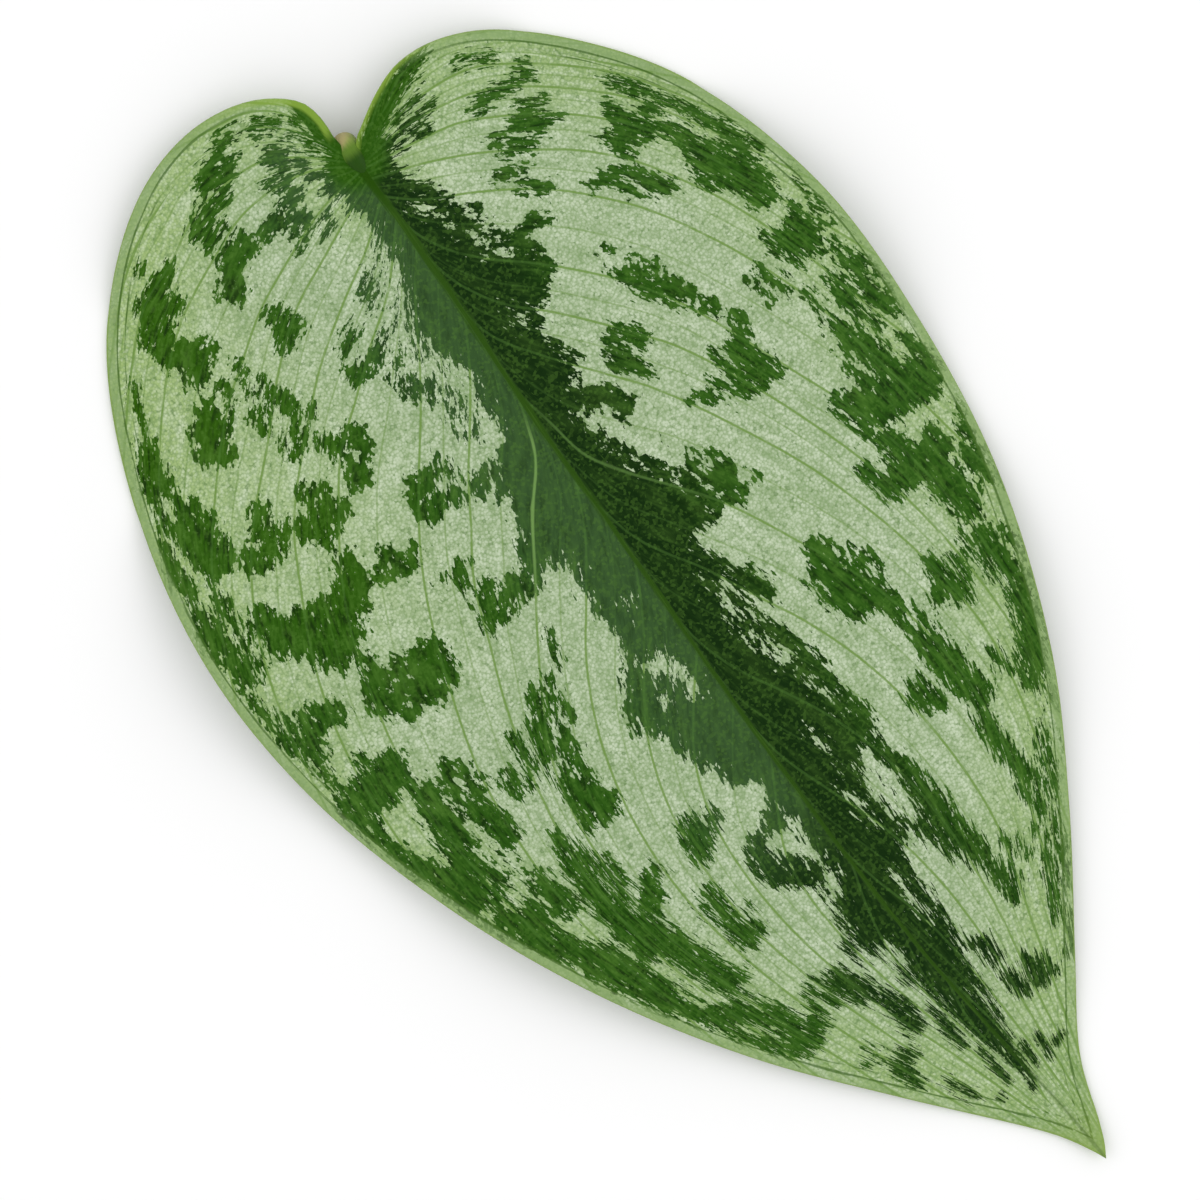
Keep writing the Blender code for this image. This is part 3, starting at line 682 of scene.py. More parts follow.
# %% Green strokes of the narrow half
NARROW_GREEN = [
    [(-31.0, 46.0, 0.6), (-30.2, 42.0, 0.5)], [(-29.3, 45.0, 0.5), (-28.3, 42.0, 0.4)],
    [(-36.3, 41.5, 2.6), (-33.4, 40.5, 1.2)], [(-37.5, 38.5, 0.9)],
    [(-33.8, 43.8, 0.5), (-32.9, 38.8, 0.4)],
    [(-35.7, 34.5, 1.6), (-35.3, 32.0, 2.3), (-33.8, 29.5, 2.5), (-32.8, 26.5, 1.8), (-32.0, 23.0, 1.0),
     (-31.0, 21.0, 0.8)], [(-31.5, 30.5, 0.6), (-30.8, 28.5, 0.5)],
    [(-37.6, 31.0, 0.5), (-36.0, 26.5, 0.6)],
    [(-38.5, 30.0, 0.4), (-36.0, 24.0, 0.6), (-34.0, 20.0, 0.6), (-32.0, 17.0, 0.5), (-30.0, 13.0, 0.4)],
    [(-27.3, 27.3, 0.6), (-26.0, 26.0, 1.2), (-25.0, 24.0, 1.1), (-23.5, 22.5, 0.9)],
    [(-24.0, 25.5, 0.7), (-22.0, 22.5, 0.7), (-20.5, 21.7, 0.6)],
    [(-28.7, 20.3, 1.5), (-27.0, 18.8, 1.7), (-28.0, 17.0, 1.4), (-27.5, 15.5, 0.8)],
    [(-26.0, 21.5, 0.6), (-25.0, 18.0, 0.5)], [(-30.5, 18.5, 1.0)],
    [(-15.8, 18.8, 0.5), (-14.5, 17.8, 0.8), (-13.3, 16.8, 0.4)], [(-16.5, 15.3, 0.3), (-14.5, 15.0, 0.25)],
    [(-13.3, 15.0, 0.5), (-11.8, 14.2, 0.4)], [(-13.6, 21.4, 0.6), (-12.4, 20.7, 0.4)],
    [(-11.3, 21.2, 0.4), (-9.9, 21.3, 0.5)], [(-7.5, 15.8, 0.3), (-6.8, 16.5, 0.3)],
    [(-21.5, 12.8, 0.6), (-19.5, 12.2, 1.0), (-18.5, 11.0, 1.2), (-17.5, 10.5, 0.8)],
    [(-21.3, 10.2, 0.6), (-19.0, 9.8, 0.7)],
    [(-17.5, 13.8, 0.6), (-16.0, 12.8, 0.7), (-14.5, 11.5, 0.9), (-13.8, 10.7, 0.5)],
    [(-21.8, 6.3, 0.8), (-19.5, 6.5, 0.6), (-17.0, 6.0, 0.6), (-14.8, 6.4, 0.8)], [(-22.3, 5.2, 0.5)],
    [(-19.5, 2.4, 0.6), (-18.0, 1.5, 0.6), (-16.5, 0.8, 0.5)],
    [(-13.5, -2.6, 0.4), (-9.5, -1.9, 1.2), (-6.0, -0.6, 1.4), (-3.2, 1.2, 1.2)],
    [(-10.5, 2.9, 0.35), (-6.0, 3.0, 0.35)], [(-9.5, 1.2, 0.5), (-6.0, 1.8, 0.4)],
    [(-8.4, 5.2, 0.3), (-7.4, 5.0, 0.25)],
    [(-12.5, 43.5, 0.6), (-11.3, 41.5, 1.2), (-9.8, 40.5, 0.9), (-10.5, 38.3, 0.9), (-11.5, 37.2, 0.9),
     (-13.0, 38.3, 1.0), (-13.8, 39.5, 0.8)],
    [(-22.5, 41.5, 0.7), (-21.3, 39.0, 1.0), (-19.8, 37.0, 1.0), (-18.3, 35.0, 1.2), (-17.0, 33.0, 1.0),
     (-15.8, 31.5, 0.6)], [(-20.3, 33.5, 0.5), (-19.0, 31.5, 0.4)], [(-17.0, 29.3, 0.5)],
    [(-24.0, 52.0, 1.2), (-22.5, 51.0, 2.1), (-22.3, 48.0, 1.9)],
    [(-22.0, 51.5, 1.4), (-19.5, 51.5, 1.0), (-17.3, 49.3, 0.6)], [(-16.0, 50.5, 0.4), (-14.5, 49.0, 0.4)],
    [(-20.0, 48.5, 0.8), (-19.4, 46.6, 0.5)], [(-24.5, 44.8, 0.7), (-23.5, 46.5, 0.8)],
    [(-14.0, 61.0, 0.8), (-12.0, 61.0, 1.2), (-12.5, 58.5, 1.4), (-10.0, 57.5, 1.1), (-8.8, 55.5, 0.8)],
    [(-8.5, 55.5, 0.7), (-6.0, 52.5, 0.6), (-4.2, 49.0, 0.5)], [(-12.0, 56.0, 0.6), (-10.3, 54.5, 0.5)],
    [(-7.6, 44.8, 0.9), (-6.2, 42.5, 1.4), (-4.7, 41.0, 1.0)],
    [(-7.8, 72.3, 1.2), (-6.8, 70.0, 1.3), (-5.6, 68.3, 0.8)],
    [(-8.3, 90.5, 0.9), (-7.5, 86.5, 0.9), (-7.2, 82.0, 1.1), (-6.3, 78.5, 1.1), (-4.6, 75.0, 0.9),
     (-3.3, 72.5, 0.5)],
    [(-19.0, 82.5, 1.2), (-17.5, 80.0, 2.2), (-15.5, 79.0, 2.5), (-16.0, 76.0, 2.4), (-14.9, 73.5, 1.6),
     (-14.8, 71.5, 0.7)], [(-20.0, 77.5, 0.8), (-18.5, 74.5, 0.5)],
    [(-16.8, 72.5, 0.5), (-16.0, 70.3, 0.3)], [(-12.9, 77.0, 0.5), (-12.6, 74.5, 0.3)],
    [(-20.8, 97.0, 1.4), (-20.0, 92.0, 2.1), (-19.0, 88.0, 1.1), (-18.3, 85.0, 0.6)],
    [(-21.2, 89.0, 0.4), (-20.6, 84.5, 0.3)], [(-28.2, 83.0, 0.7), (-27.8, 85.5, 0.8)],
    [(-26.2, 86.2, 1.3), (-25.7, 83.5, 1.2), (-25.5, 81.3, 0.8)], [(-26.0, 85.5, 1.0), (-23.8, 85.0, 0.8)],
    [(-38.0, 63.2, 2.5), (-34.5, 63.2, 2.5), (-31.5, 62.5, 2.5), (-29.0, 61.3, 1.8), (-28.0, 59.8, 0.9)],
    [(-35.5, 61.0, 1.5), (-34.8, 57.5, 1.6), (-33.8, 54.5, 1.4), (-33.0, 51.5, 0.8)],
    [(-33.2, 49.5, 0.5), (-32.4, 47.0, 0.3)], [(-32.5, 60.5, 1.0), (-31.2, 57.5, 0.6)],
    [(-39.5, 61.0, 1.2), (-39.0, 58.5, 0.7)],
    [(-40.2, 55.0, 0.7), (-39.0, 52.5, 1.1), (-38.9, 48.0, 1.0), (-38.8, 44.0, 0.5)],
    [(-37.0, 54.5, 0.7), (-36.3, 51.5, 1.1), (-36.4, 47.5, 0.8)], [(-41.0, 53.0, 0.4), (-40.7, 47.0, 0.4)],
    [(-39.8, 42.0, 0.5), (-39.8, 36.0, 0.5)], [(-30.5, 71.0, 2.1), (-27.0, 71.6, 1.3), (-25.8, 68.0, 0.8)],
    [(-30.0, 67.0, 1.3), (-30.5, 69.0, 1.6)], [(-33.0, 78.8, 1.7), (-32.6, 75.0, 2.1), (-33.0, 71.0, 1.9)],
    [(-37.2, 77.0, 1.1), (-37.0, 73.0, 1.0)], [(-38.8, 72.0, 0.6), (-39.2, 68.5, 0.5)],
    [(-35.5, 71.5, 0.8), (-34.8, 69.0, 0.6)], [(-35.3, 77.5, 0.4)],
    [(-33.0, 86.8, 1.9), (-32.3, 82.8, 1.3)], [(-34.7, 87.5, 1.0), (-35.2, 84.5, 0.8)],
    [(-30.6, 87.5, 0.4), (-30.4, 81.0, 0.4)],
    [(-32.4, 90.0, 1.7), (-30.8, 94.5, 1.9), (-28.0, 98.0, 1.9), (-26.5, 99.8, 0.9)],
    [(-28.2, 102.6, 0.6), (-27.0, 103.8, 0.4)], [(-25.3, 97.0, 0.6), (-24.9, 94.2, 0.5)],
    [(-24.0, 105.5, 0.9), (-22.0, 109.0, 1.2), (-20.2, 112.0, 0.9)],
    [(-20.5, 109.5, 0.7), (-18.2, 113.5, 0.7)],
    [(-18.7, 114.5, 0.7), (-16.2, 117.5, 1.0), (-14.2, 121.0, 0.8), (-12.2, 124.5, 0.35)],
    [(-14.5, 124.5, 0.3), (-12.0, 127.5, 0.45), (-10.8, 128.5, 0.3)],
    [(-19.0, 116.5, 0.25), (-15.5, 121.8, 0.25)], [(-15.9, 95.2, 0.8), (-15.8, 91.5, 0.7)],
    [(-14.3, 94.8, 0.4), (-13.9, 92.5, 0.4)],
    [(-19.8, 108.5, 0.8), (-19.2, 104.0, 1.2), (-19.5, 100.0, 0.9)],
    [(-9.9, 118.5, 0.9), (-10.2, 116.0, 0.9), (-9.6, 113.0, 1.0), (-9.0, 110.0, 1.3), (-8.6, 106.0, 1.8),
     (-8.6, 102.0, 1.5), (-8.6, 99.0, 1.2), (-7.6, 96.0, 0.8), (-7.5, 93.5, 0.7)],
    [(-7.3, 110.5, 0.6), (-6.3, 107.0, 0.6), (-5.5, 105.0, 0.5)],
    [(-11.5, 117.3, 0.3), (-11.2, 115.5, 0.25)], [(-16.6, 114.0, 0.6)],
    [(-14.2, 115.8, 0.3), (-14.0, 113.5, 0.3)], [(-13.1, 115.0, 0.4), (-13.0, 112.3, 0.3)],
    [(-8.6, 128.8, 0.6), (-6.6, 128.0, 1.3), (-6.5, 125.5, 0.6)], [(-8.0, 126.8, 0.6)],
    [(-4.0, 128.2, 0.9), (-3.6, 125.8, 0.5)], [(-3.6, 123.2, 0.9), (-3.9, 121.0, 0.6), (-2.4, 120.5, 0.4)],
    [(-4.4, 135.5, 0.35), (-3.4, 135.7, 0.35)], [(-2.0, 136.5, 0.3), (-2.1, 134.0, 0.25)],
    [(-0.1, 136.4, 0.25), (-0.1, 133.5, 0.25)], [(0.0, 120.0, 0.4), (0.0, 129.5, 0.3)],
    [(-6.2, 53.5, 0.5), (-4.2, 48.0, 0.5), (-3.2, 43.5, 0.4)], [(-4.8, 71.0, 0.8)],
    [(-9.0, 3.9, 0.1), (-4.5, 4.6, 0.4)], [(-31.0, 16.0, 0.6), (-29.5, 12.5, 0.5)],
    [(-38.2, 79.0, 0.5), (-38.7, 75.0, 0.6)], [(-18.6, 113.0, 0.6), (-18.0, 109.0, 0.4)],
    [(-28.6, 64.5, 0.5), (-28.5, 61.5, 0.7)],
]

# %% Silver strokes inside the green
SILVER = [
    [(5.8, 76.6, 0.9), (6.0, 74.0, 0.9), (7.2, 72.0, 1.2), (8.8, 71.2, 0.9)],
    [(9.4, 76.0, 0.5), (9.1, 73.0, 0.6)], [(7.3, 100.0, 0.6), (7.1, 97.3, 0.7)],
    [(9.5, 97.0, 0.3), (9.0, 95.3, 0.3)], [(6.2, 95.0, 0.2), (5.8, 99.0, 0.3)],
    [(5.5, 116.0, 0.8), (6.8, 115.5, 0.7)], [(-4.0, 28.5, 0.4), (-4.0, 30.0, 0.5)],
    [(28.3, 5.5, 0.4), (30.3, 5.7, 0.4)], [(14.4, 39.7, 0.6), (14.8, 38.8, 0.6)], [(-12.0, 38.8, 0.5)],
    [(42.0, 68.3, 1.1), (43.4, 71.3, 1.3)], [(33.0, 55.2, 0.3), (33.3, 57.0, 0.3)], [(-13.3, 75.0, 0.5)],
    [(-37.6, 58.5, 0.9), (-37.3, 57.0, 0.8)], [(-37.0, 68.5, 1.1)], [(-34.9, 80.8, 0.9)],
    [(-5.2, 97.0, 0.8), (-5.8, 101.5, 0.8)], [(-1.8, 102.5, 0.3), (-1.3, 97.0, 0.35)],
    [(-0.4, 115.0, 0.3), (0.0, 108.0, 0.35)],
    [(-1.9, 10.8, 0.3), (-3.3, 13.5, 0.5), (-4.4, 16.5, 0.6), (-5.8, 19.5, 0.8), (-7.2, 22.0, 0.7)],
    [(-2.6, 71.5, 0.3), (-4.3, 77.5, 0.3), (-5.9, 83.0, 0.25), (-7.2, 88.0, 0.35)],
    [(-2.9, 93.5, 0.15), (-1.9, 88.5, 0.15)], [(-3.6, 69.5, 0.2), (-1.8, 66.5, 0.2)],
    [(0.45, 131.0, 0.12), (0.45, 125.0, 0.1)], [(35.0, 89.5, 0.25), (34.9, 84.0, 0.25)],
    [(31.3, 87.0, 0.3), (31.2, 82.0, 0.5)], [(32.3, 93.6, 0.9), (33.6, 91.3, 1.1)],
    [(37.2, 77.0, 0.35), (36.6, 80.0, 0.6)], [(39.5, 90.5, 0.25), (42.5, 84.0, 0.2)],
    [(41.0, 86.5, 0.3), (41.5, 83.0, 0.2)], [(36.0, 79.5, 0.8), (34.5, 80.5, 0.9)],
    [(25.0, 108.3, 0.7), (26.6, 106.0, 1.0), (28.0, 103.0, 0.9), (29.3, 99.8, 0.4)],
    [(30.3, 97.3, 0.4), (30.8, 95.5, 0.4)], [(22.0, 111.5, 0.25), (23.0, 108.8, 0.45)],
    [(23.3, 114.3, 0.4), (25.3, 111.8, 0.5)], [(10.4, 115.5, 0.3), (10.3, 112.0, 0.35)],
    [(15.0, 114.5, 0.2), (15.1, 112.5, 0.2)], [(-34.3, 86.5, 0.25), (-33.9, 83.5, 0.3)],
    [(-26.9, 97.3, 0.3), (-26.8, 95.0, 0.5)], [(21.5, 31.8, 0.4), (20.6, 30.5, 0.3)],
    [(16.5, 52.8, 0.3), (17.5, 55.0, 0.15)], [(43.8, 43.0, 0.3), (43.6, 41.3, 0.3)],
    [(46.0, 41.8, 0.25), (45.6, 39.0, 0.3)], [(-10.5, 59.3, 0.2), (-7.0, 54.0, 0.25)],
    [(-3.5, 44.5, 0.5), (-1.8, 40.5, 0.3)], [(3.6, 0.9, 0.2), (6.5, 0.6, 0.3)],
    [(6.0, 65.0, 0.4), (6.4, 64.0, 0.2)], [(5.3, 2.2, 0.2), (7.5, 2.4, 0.2)],
    [(-7.0, 2.3, 0.2), (-4.0, 2.7, 0.15)],
]

# %% Mottled strokes, where silver and green are mixed
MOTTLED = [
    [(4.5, 12.0, 1.2), (6.5, 16.5, 2.2), (9.0, 22.0, 2.8), (12.0, 27.0, 2.0)],
    [(6.0, 31.0, 1.5), (9.0, 37.0, 1.8)], [(25.5, 14.0, 1.0), (26.5, 19.0, 1.8), (26.0, 25.0, 1.4)],
    [(29.0, 16.0, 1.0), (31.0, 18.5, 0.8)], [(17.8, 64.5, 1.0), (20.5, 70.0, 1.3)],
    [(22.0, 73.0, 0.9), (22.5, 77.0, 0.9)], [(28.0, 81.5, 1.0), (29.0, 86.0, 1.2)],
    [(35.5, 82.0, 2.0), (42.0, 84.0, 1.6)], [(37.0, 66.0, 0.8), (36.0, 77.0, 1.2)],
    [(46.8, 46.0, 0.9), (47.6, 56.0, 0.8)], [(43.5, 37.0, 1.4), (45.0, 44.0, 1.4)],
    [(28.0, 36.5, 0.8), (30.5, 40.0, 0.8)], [(-41.0, 31.0, 1.0), (-40.2, 38.0, 1.5), (-39.5, 46.0, 1.2)],
    [(-37.5, 46.0, 1.0), (-38.0, 55.0, 1.0)], [(-34.5, 46.5, 0.9), (-31.8, 53.5, 0.9), (-28.0, 57.0, 0.7)],
    [(-31.0, 12.0, 1.0), (-29.0, 17.0, 1.0)], [(-12.0, -0.5, 1.4), (-7.0, 2.0, 1.0)],
    [(-20.0, 1.2, 1.3), (-16.0, 1.5, 1.1)], [(-17.6, 38.0, 0.6), (-15.5, 35.0, 0.9)],
    [(-17.5, 30.0, 1.0), (-14.0, 28.0, 0.9)], [(-23.0, 43.5, 1.2)], [(-9.0, 20.0, 1.6), (-6.5, 16.0, 1.2)],
    [(-14.5, 68.5, 0.7), (-13.5, 64.5, 0.7)],
    [(-24.5, 104.0, 1.3), (-20.0, 112.0, 1.6), (-13.0, 124.0, 1.2)],
    [(-16.0, 111.5, 0.9), (-13.0, 115.5, 0.9)], [(-7.0, 37.5, 1.0), (-3.0, 39.5, 1.0)],
    [(-6.0, 46.0, 0.9), (-9.0, 52.0, 0.8)], [(5.5, 104.0, 1.0), (8.0, 107.5, 1.0)],
    [(5.8, 118.0, 0.8), (6.3, 122.0, 0.8)], [(26.5, 104.0, 1.6), (29.0, 99.0, 1.2)],
    [(20.8, 97.0, 0.8), (21.3, 103.0, 0.8)], [(-38.7, 66.0, 0.8), (-38.5, 72.0, 0.8)],
    [(-30.0, 80.0, 0.7), (-30.5, 89.0, 0.8)], [(-19.5, 74.0, 0.7), (-19.5, 78.0, 0.7)],
    [(-21.5, 85.0, 0.8), (-21.5, 91.0, 0.8)], [(5.0, -4.0, 1.5), (9.0, -7.0, 1.2)],
    [(16.0, 50.5, 1.0), (17.5, 53.5, 0.8)], [(-5.5, 97.0, 1.2), (-5.8, 103.0, 1.2)],
    [(-40.5, 26.0, 0.5), (-41.3, 36.0, 0.9), (-41.5, 48.0, 1.0), (-40.9, 60.0, 0.9), (-39.4, 71.0, 0.9),
     (-36.6, 82.0, 0.9), (-33.0, 92.0, 0.9), (-28.5, 102.0, 0.9), (-23.0, 111.0, 0.9), (-17.5, 119.0, 0.8)],
    [(6.5, 22.0, 2.0), (8.0, 28.0, 2.5), (9.0, 34.0, 2.5), (8.0, 38.0, 1.5)],
    [(3.0, 0.0, 1.5), (5.0, -5.0, 1.8), (9.0, -9.0, 1.2)],
]

# %% Measure how deep each point is in the green
FURTHEST = 6.0


def inside_strokes(places, strokes):
    """How far each place is inside the nearest of some strokes, down to a furthest distance outside."""
    deepest = np.full(len(places), -FURTHEST)
    for stroke in strokes:
        points = np.array(stroke)
        reach = FURTHEST + points[:, 2].max()
        low_side, high_side = points[:, :2].min(axis=0) - reach, points[:, :2].max(axis=0) + reach
        near = np.flatnonzero(((places > low_side) & (places < high_side)).all(axis=1))
        deepest[near] = np.maximum(deepest[near], inside_chain(places[near], stroke))
    return deepest


def inside_heart(places):
    """How far each place is inside the green that lies along the midrib."""
    wide_edge, narrow_edge = np.array(WIDE_HEART), np.array(NARROW_HEART)
    within = (places[:, 0] < np.interp(places[:, 1], wide_edge[:, 1], wide_edge[:, 0])) & (
        places[:, 0] > np.interp(places[:, 1], narrow_edge[:, 1], narrow_edge[:, 0])
    )
    within &= places[:, 1] < wide_edge[-1, 1]
    away = np.minimum(distance_to(places, wide_edge), distance_to(places, narrow_edge))
    return np.where(within, away, -away)


for sheet in SHEETS:
    flat = sheet["places"].reshape(-1, 2)
    green = np.maximum(inside_heart(flat), inside_strokes(flat, WIDE_GREEN + NARROW_GREEN))
    sheet["green"] = np.minimum(green, -inside_strokes(flat, SILVER)).reshape(sheet["along"].shape)
    sheet["mottle"] = inside_strokes(flat, MOTTLED).reshape(sheet["along"].shape)
print("green strokes:", len(WIDE_GREEN) + len(NARROW_GREEN))
print("silver strokes:", len(SILVER), "and mottled strokes:", len(MOTTLED))

# %% [markdown]
# ## Put the blade together
#
# The upper and lower grids meet at the margin and share its points, the two halves share the midrib, and
# the first and last rows shrink to a single point in the notch and at the tip. Joined up that way the
# blade is one closed skin, which a renderer and a slicer both need. What the material has to know is
# stored on the points by name.

# %% Number the points and make the faces
ATTRIBUTES = ("number", "along", "gap", "edge", "rib", "notch", "groove", "green", "mottle")


def joined_indices(sheets):
    """Index of the point that stands at each place of each grid, with shared places counted once."""
    sizes = [sheet["along"].size for sheet in sheets]
    firsts = np.cumsum([0, *sizes[:-1]])
    grids = [first + np.arange(size).reshape(sheet["along"].shape)
             for first, size, sheet in zip(firsts, sizes, sheets)]
    upper_wide, under_wide, upper_narrow, under_narrow = grids
    upper_narrow[:, 0] = upper_wide[:, 0]
    under_narrow[:, 0] = under_wide[:, 0]
    under_wide[:, -1] = upper_wide[:, -1]
    under_narrow[:, -1] = upper_narrow[:, -1]
    for grid in grids:
        grid[0, :] = upper_wide[0, 0]
        grid[-1, :] = upper_wide[-1, 0]
    return grids


def faces_of(grid, facing_up):
    corners = [grid[:-1, :-1], grid[:-1, 1:], grid[1:, 1:], grid[1:, :-1]]
    quads = np.stack(corners if facing_up else corners[::-1], axis=-1).reshape(-1, 4)
    return [list(dict.fromkeys(quad)) for quad in quads.tolist()]


def blade_parts():
    grids = joined_indices(SHEETS)
    faces, under = [], []
    for sheet, grid in zip(SHEETS, grids):
        made = faces_of(grid, (sheet["hand"] > 0) == (sheet["face"] == "upper"))
        made = [face for face in made if len(face) > 2]
        faces += made
        under += [sheet["face"] == "under"] * len(made)
    points = np.concatenate([sheet["points"].reshape(-1, 3) for sheet in SHEETS])
    values = {name: np.concatenate([sheet[name].ravel() for sheet in SHEETS]) for name in ATTRIBUTES}
    used = np.unique(np.concatenate([grid.ravel() for grid in grids]))
    renumber = np.full(len(points), -1)
    renumber[used] = np.arange(len(used))
    faces = [[int(renumber[i]) for i in face] for face in faces]
    return points[used], faces, np.array(under), {name: value[used] for name, value in values.items()}


blade_points, blade_faces, blade_under, blade_values = blade_parts()
print("blade:", len(blade_points), "points and", len(blade_faces), "faces")

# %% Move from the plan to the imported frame
plan_low = np.array([NARROW_MARGIN[:, 0].min(), WIDE_MARGIN[:, 1].min()])
plan_high = np.array([WIDE_MARGIN[:, 0].max(), WIDE_MARGIN[:, 1].max()])
PLAN_MIDDLE = (plan_low + plan_high) / 2


def to_frame(points):
    """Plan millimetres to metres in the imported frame, whose origin is under the middle of the leaf."""
    moved = np.array(points, float)
    moved[:, :2] -= PLAN_MIDDLE
    return moved * MM


print("middle of the leaf in its plan, mm:", np.round(PLAN_MIDDLE, 2))

# %% Build the blade
UPPER_MAP = 1 / 170
UNDER_MAP = 0.74 * UPPER_MAP
UNDER_MAP_START = 0.58
MAP_PAD = 1.0


def lay_out(mesh, points, under):
    """A flat map of both faces side by side, so that colours baked from the nodes keep their detail."""
    layer = mesh.uv_layers.new(name="OFBake")
    from_corner = points[:, :2] - plan_low + MAP_PAD
    corners = np.zeros(len(mesh.loops), int)
    mesh.loops.foreach_get("vertex_index", corners)
    face_of = np.repeat(np.arange(len(mesh.polygons)), [len(p.vertices) for p in mesh.polygons])
    below = under[face_of][:, None]
    flat = from_corner[corners]
    laid = np.where(below, flat * UNDER_MAP + [UNDER_MAP_START, 0.0], flat * UPPER_MAP)
    layer.data.foreach_set("uv", laid.ravel())


def add_object(name, data):
    made = bpy.data.objects.new(name, data)
    bpy.context.scene.collection.objects.link(made)
    return made


def build_blade():
    mesh = bpy.data.meshes.new("leaf_blade")
    mesh.from_pydata(to_frame(blade_points).tolist(), [], blade_faces)
    for name, values in blade_values.items():
        mesh.attributes.new(name, "FLOAT", "POINT").data.foreach_set("value", values.astype(np.float32))
    mesh.polygons.foreach_set("material_index", blade_under.astype(int))
    lay_out(mesh, blade_points, blade_under)
    mesh.shade_smooth()
    return add_object("leaf_blade", mesh)


blade = build_blade()
blade.data.calc_loop_triangles()
print("blade triangles:", len(blade.data.loop_triangles))
print("repairs needed:", blade.data.validate(verbose=False))

# %% [markdown]
# ## The petiole
#
# The leaf was cut from its plant just below the blade, so a short round stub is left, which runs into
# the keel under the midrib. A bevelled curve is the natural tool for such a tapering stalk: it takes a
# few points with a radius each. It is then turned into a mesh, so that it is one closed piece with a cut
# end.

# %% Build the petiole
PETIOLE = [(0.3, 0.3, 1.0), (0.3, 0.4, 2.0), (0.33, 0.9, 3.2), (0.4, 2.5, 4.1)]
PETIOLE_RADIUS = 1.55
PETIOLE_STEPS = 8
ROUND_STEPS = 10
KEEL_RUN = np.arange(5.0, 30.0, 2.5)
RUN_DEPTH = 0.5
RUN_SLACK = (0.1, 0.3)


def petiole_points():
    """Centre line and radius, from the cut end up to the blade and on inside the keel."""
    rise = [(x, y, z, PETIOLE_RADIUS) for x, y, z in PETIOLE]
    run = []
    for y in KEEL_RUN:
        radius = float(table_at(y, KEEL) - np.interp(y, KEEL_RUN[[0, -1]], RUN_SLACK))
        x = float(midrib_x(y))
        run.append((x, y, float(height(x, y)) - RUN_DEPTH - radius, radius))
    return np.concatenate([smooth_path(np.array(rise + run[:1]), PETIOLE_STEPS), run[1:]])


def build_petiole():
    curve = bpy.data.curves.new("petiole", "CURVE")
    curve.dimensions = "3D"
    curve.bevel_depth = 1.0
    curve.bevel_resolution = ROUND_STEPS
    curve.use_fill_caps = True
    points = petiole_points()
    spline = curve.splines.new("POLY")
    spline.points.add(len(points) - 1)
    for point, place, radius in zip(spline.points, to_frame(points[:, :3]), points[:, 3] * MM):
        point.co = (*place, 1.0)
        point.radius = radius
    drawn = add_object("petiole_curve", curve)
    mesh = bpy.data.meshes.new_from_object(drawn.evaluated_get(bpy.context.evaluated_depsgraph_get()))
    bpy.data.objects.remove(drawn)
    mesh.shade_smooth()
    return add_object("petiole_stub", mesh)


petiole = build_petiole()
print("petiole faces:", len(petiole.data.polygons))

# %% [markdown]
# ## Shader maths that reads as Python
#
# A material's nodes can be linked by hand, but a sum of five terms then takes ten lines. Here a socket
# is wrapped in a small class whose operators add Math nodes, so that a mask can be written as it would
# be on paper.

# %% A socket with operators
def add_node(tree, kind, settings=None, inputs=None, output=0):
    """Adds a node: settings first, then the values or links of its inputs, and gives back one output."""
    node = tree.nodes.new(kind)
    for name, value in (settings or {}).items():
        setattr(node, name, value)
    for name, value in (inputs or {}).items():
        if isinstance(value, Wire):
            tree.links.new(value.socket, node.inputs[name])
        else:
            node.inputs[name].default_value = value
    return Wire(tree, node.outputs[output])


class Wire:
    """A socket's value, which can be added, multiplied and compared like a number."""

    def __init__(self, tree, socket):
        self.tree = tree
        self.socket = socket

    def math(self, operation, first, second=0.0, third=0.0):
        inputs = {0: first, 1: second, 2: third}
        return add_node(self.tree, "ShaderNodeMath", {"operation": operation}, inputs)

    def __add__(self, other):
        return self.math("ADD", self, other)

    __radd__ = __add__

    def __mul__(self, other):
        return self.math("MULTIPLY", self, other)

    def __sub__(self, other):
        return self.math("SUBTRACT", self, other)

    def __rsub__(self, other):
        return self.math("SUBTRACT", other, self)

    def __abs__(self):
        return self.math("ABSOLUTE", self)

    def ping_pong(self, scale):
        return self.math("PINGPONG", self, scale)

    def high(self, other):
        return self.math("MAXIMUM", self, other)

    def rise(self, start, end):
        """0 below start and 1 above end, with a smooth rise between. It falls where end is lower."""
        limits = {"Value": self, "From Min": start, "From Max": end}
        return add_node(self.tree, "ShaderNodeMapRange", {"interpolation_type": "SMOOTHSTEP"}, limits)

    def mix(self, first, second):
        """First where this is 0 and second where it is 1, for colours."""
        settings = {"data_type": "RGBA"}
        return add_node(self.tree, "ShaderNodeMix", settings, {0: self, 6: first, 7: second}, output=2)


def colour(red, green, blue):
    """A screen colour, 0 to 255, as the linear values that a shader uses."""
    shares = np.array([red, green, blue]) / 255
    linear = np.where(shares <= 0.04045, shares / 12.92, ((shares + 0.055) / 1.055) ** 2.4)
    return (*linear.tolist(), 1.0)


print("middle grey as a shader colour:", np.round(colour(128, 128, 128), 3))

# %% [markdown]
# ## The satin face
#
# The silver of this leaf is light scattered by air under the skin, and each cell is either silver or
# green. So the face has two colours, both with the fine grain of cells, and a mask between them. The
# mask starts from the strokes. Noise that is much longer along the veins than across them tears its
# edges, strews specks on both sides, and breaks up the mottled places. An image would show the same
# detail only at one size and one distance.

# %% Noise, cells and stored values
MILLIMETRES_A_NUMBER = 3.4
CELL = 0.33
SKIN_RELIEF = 0.05


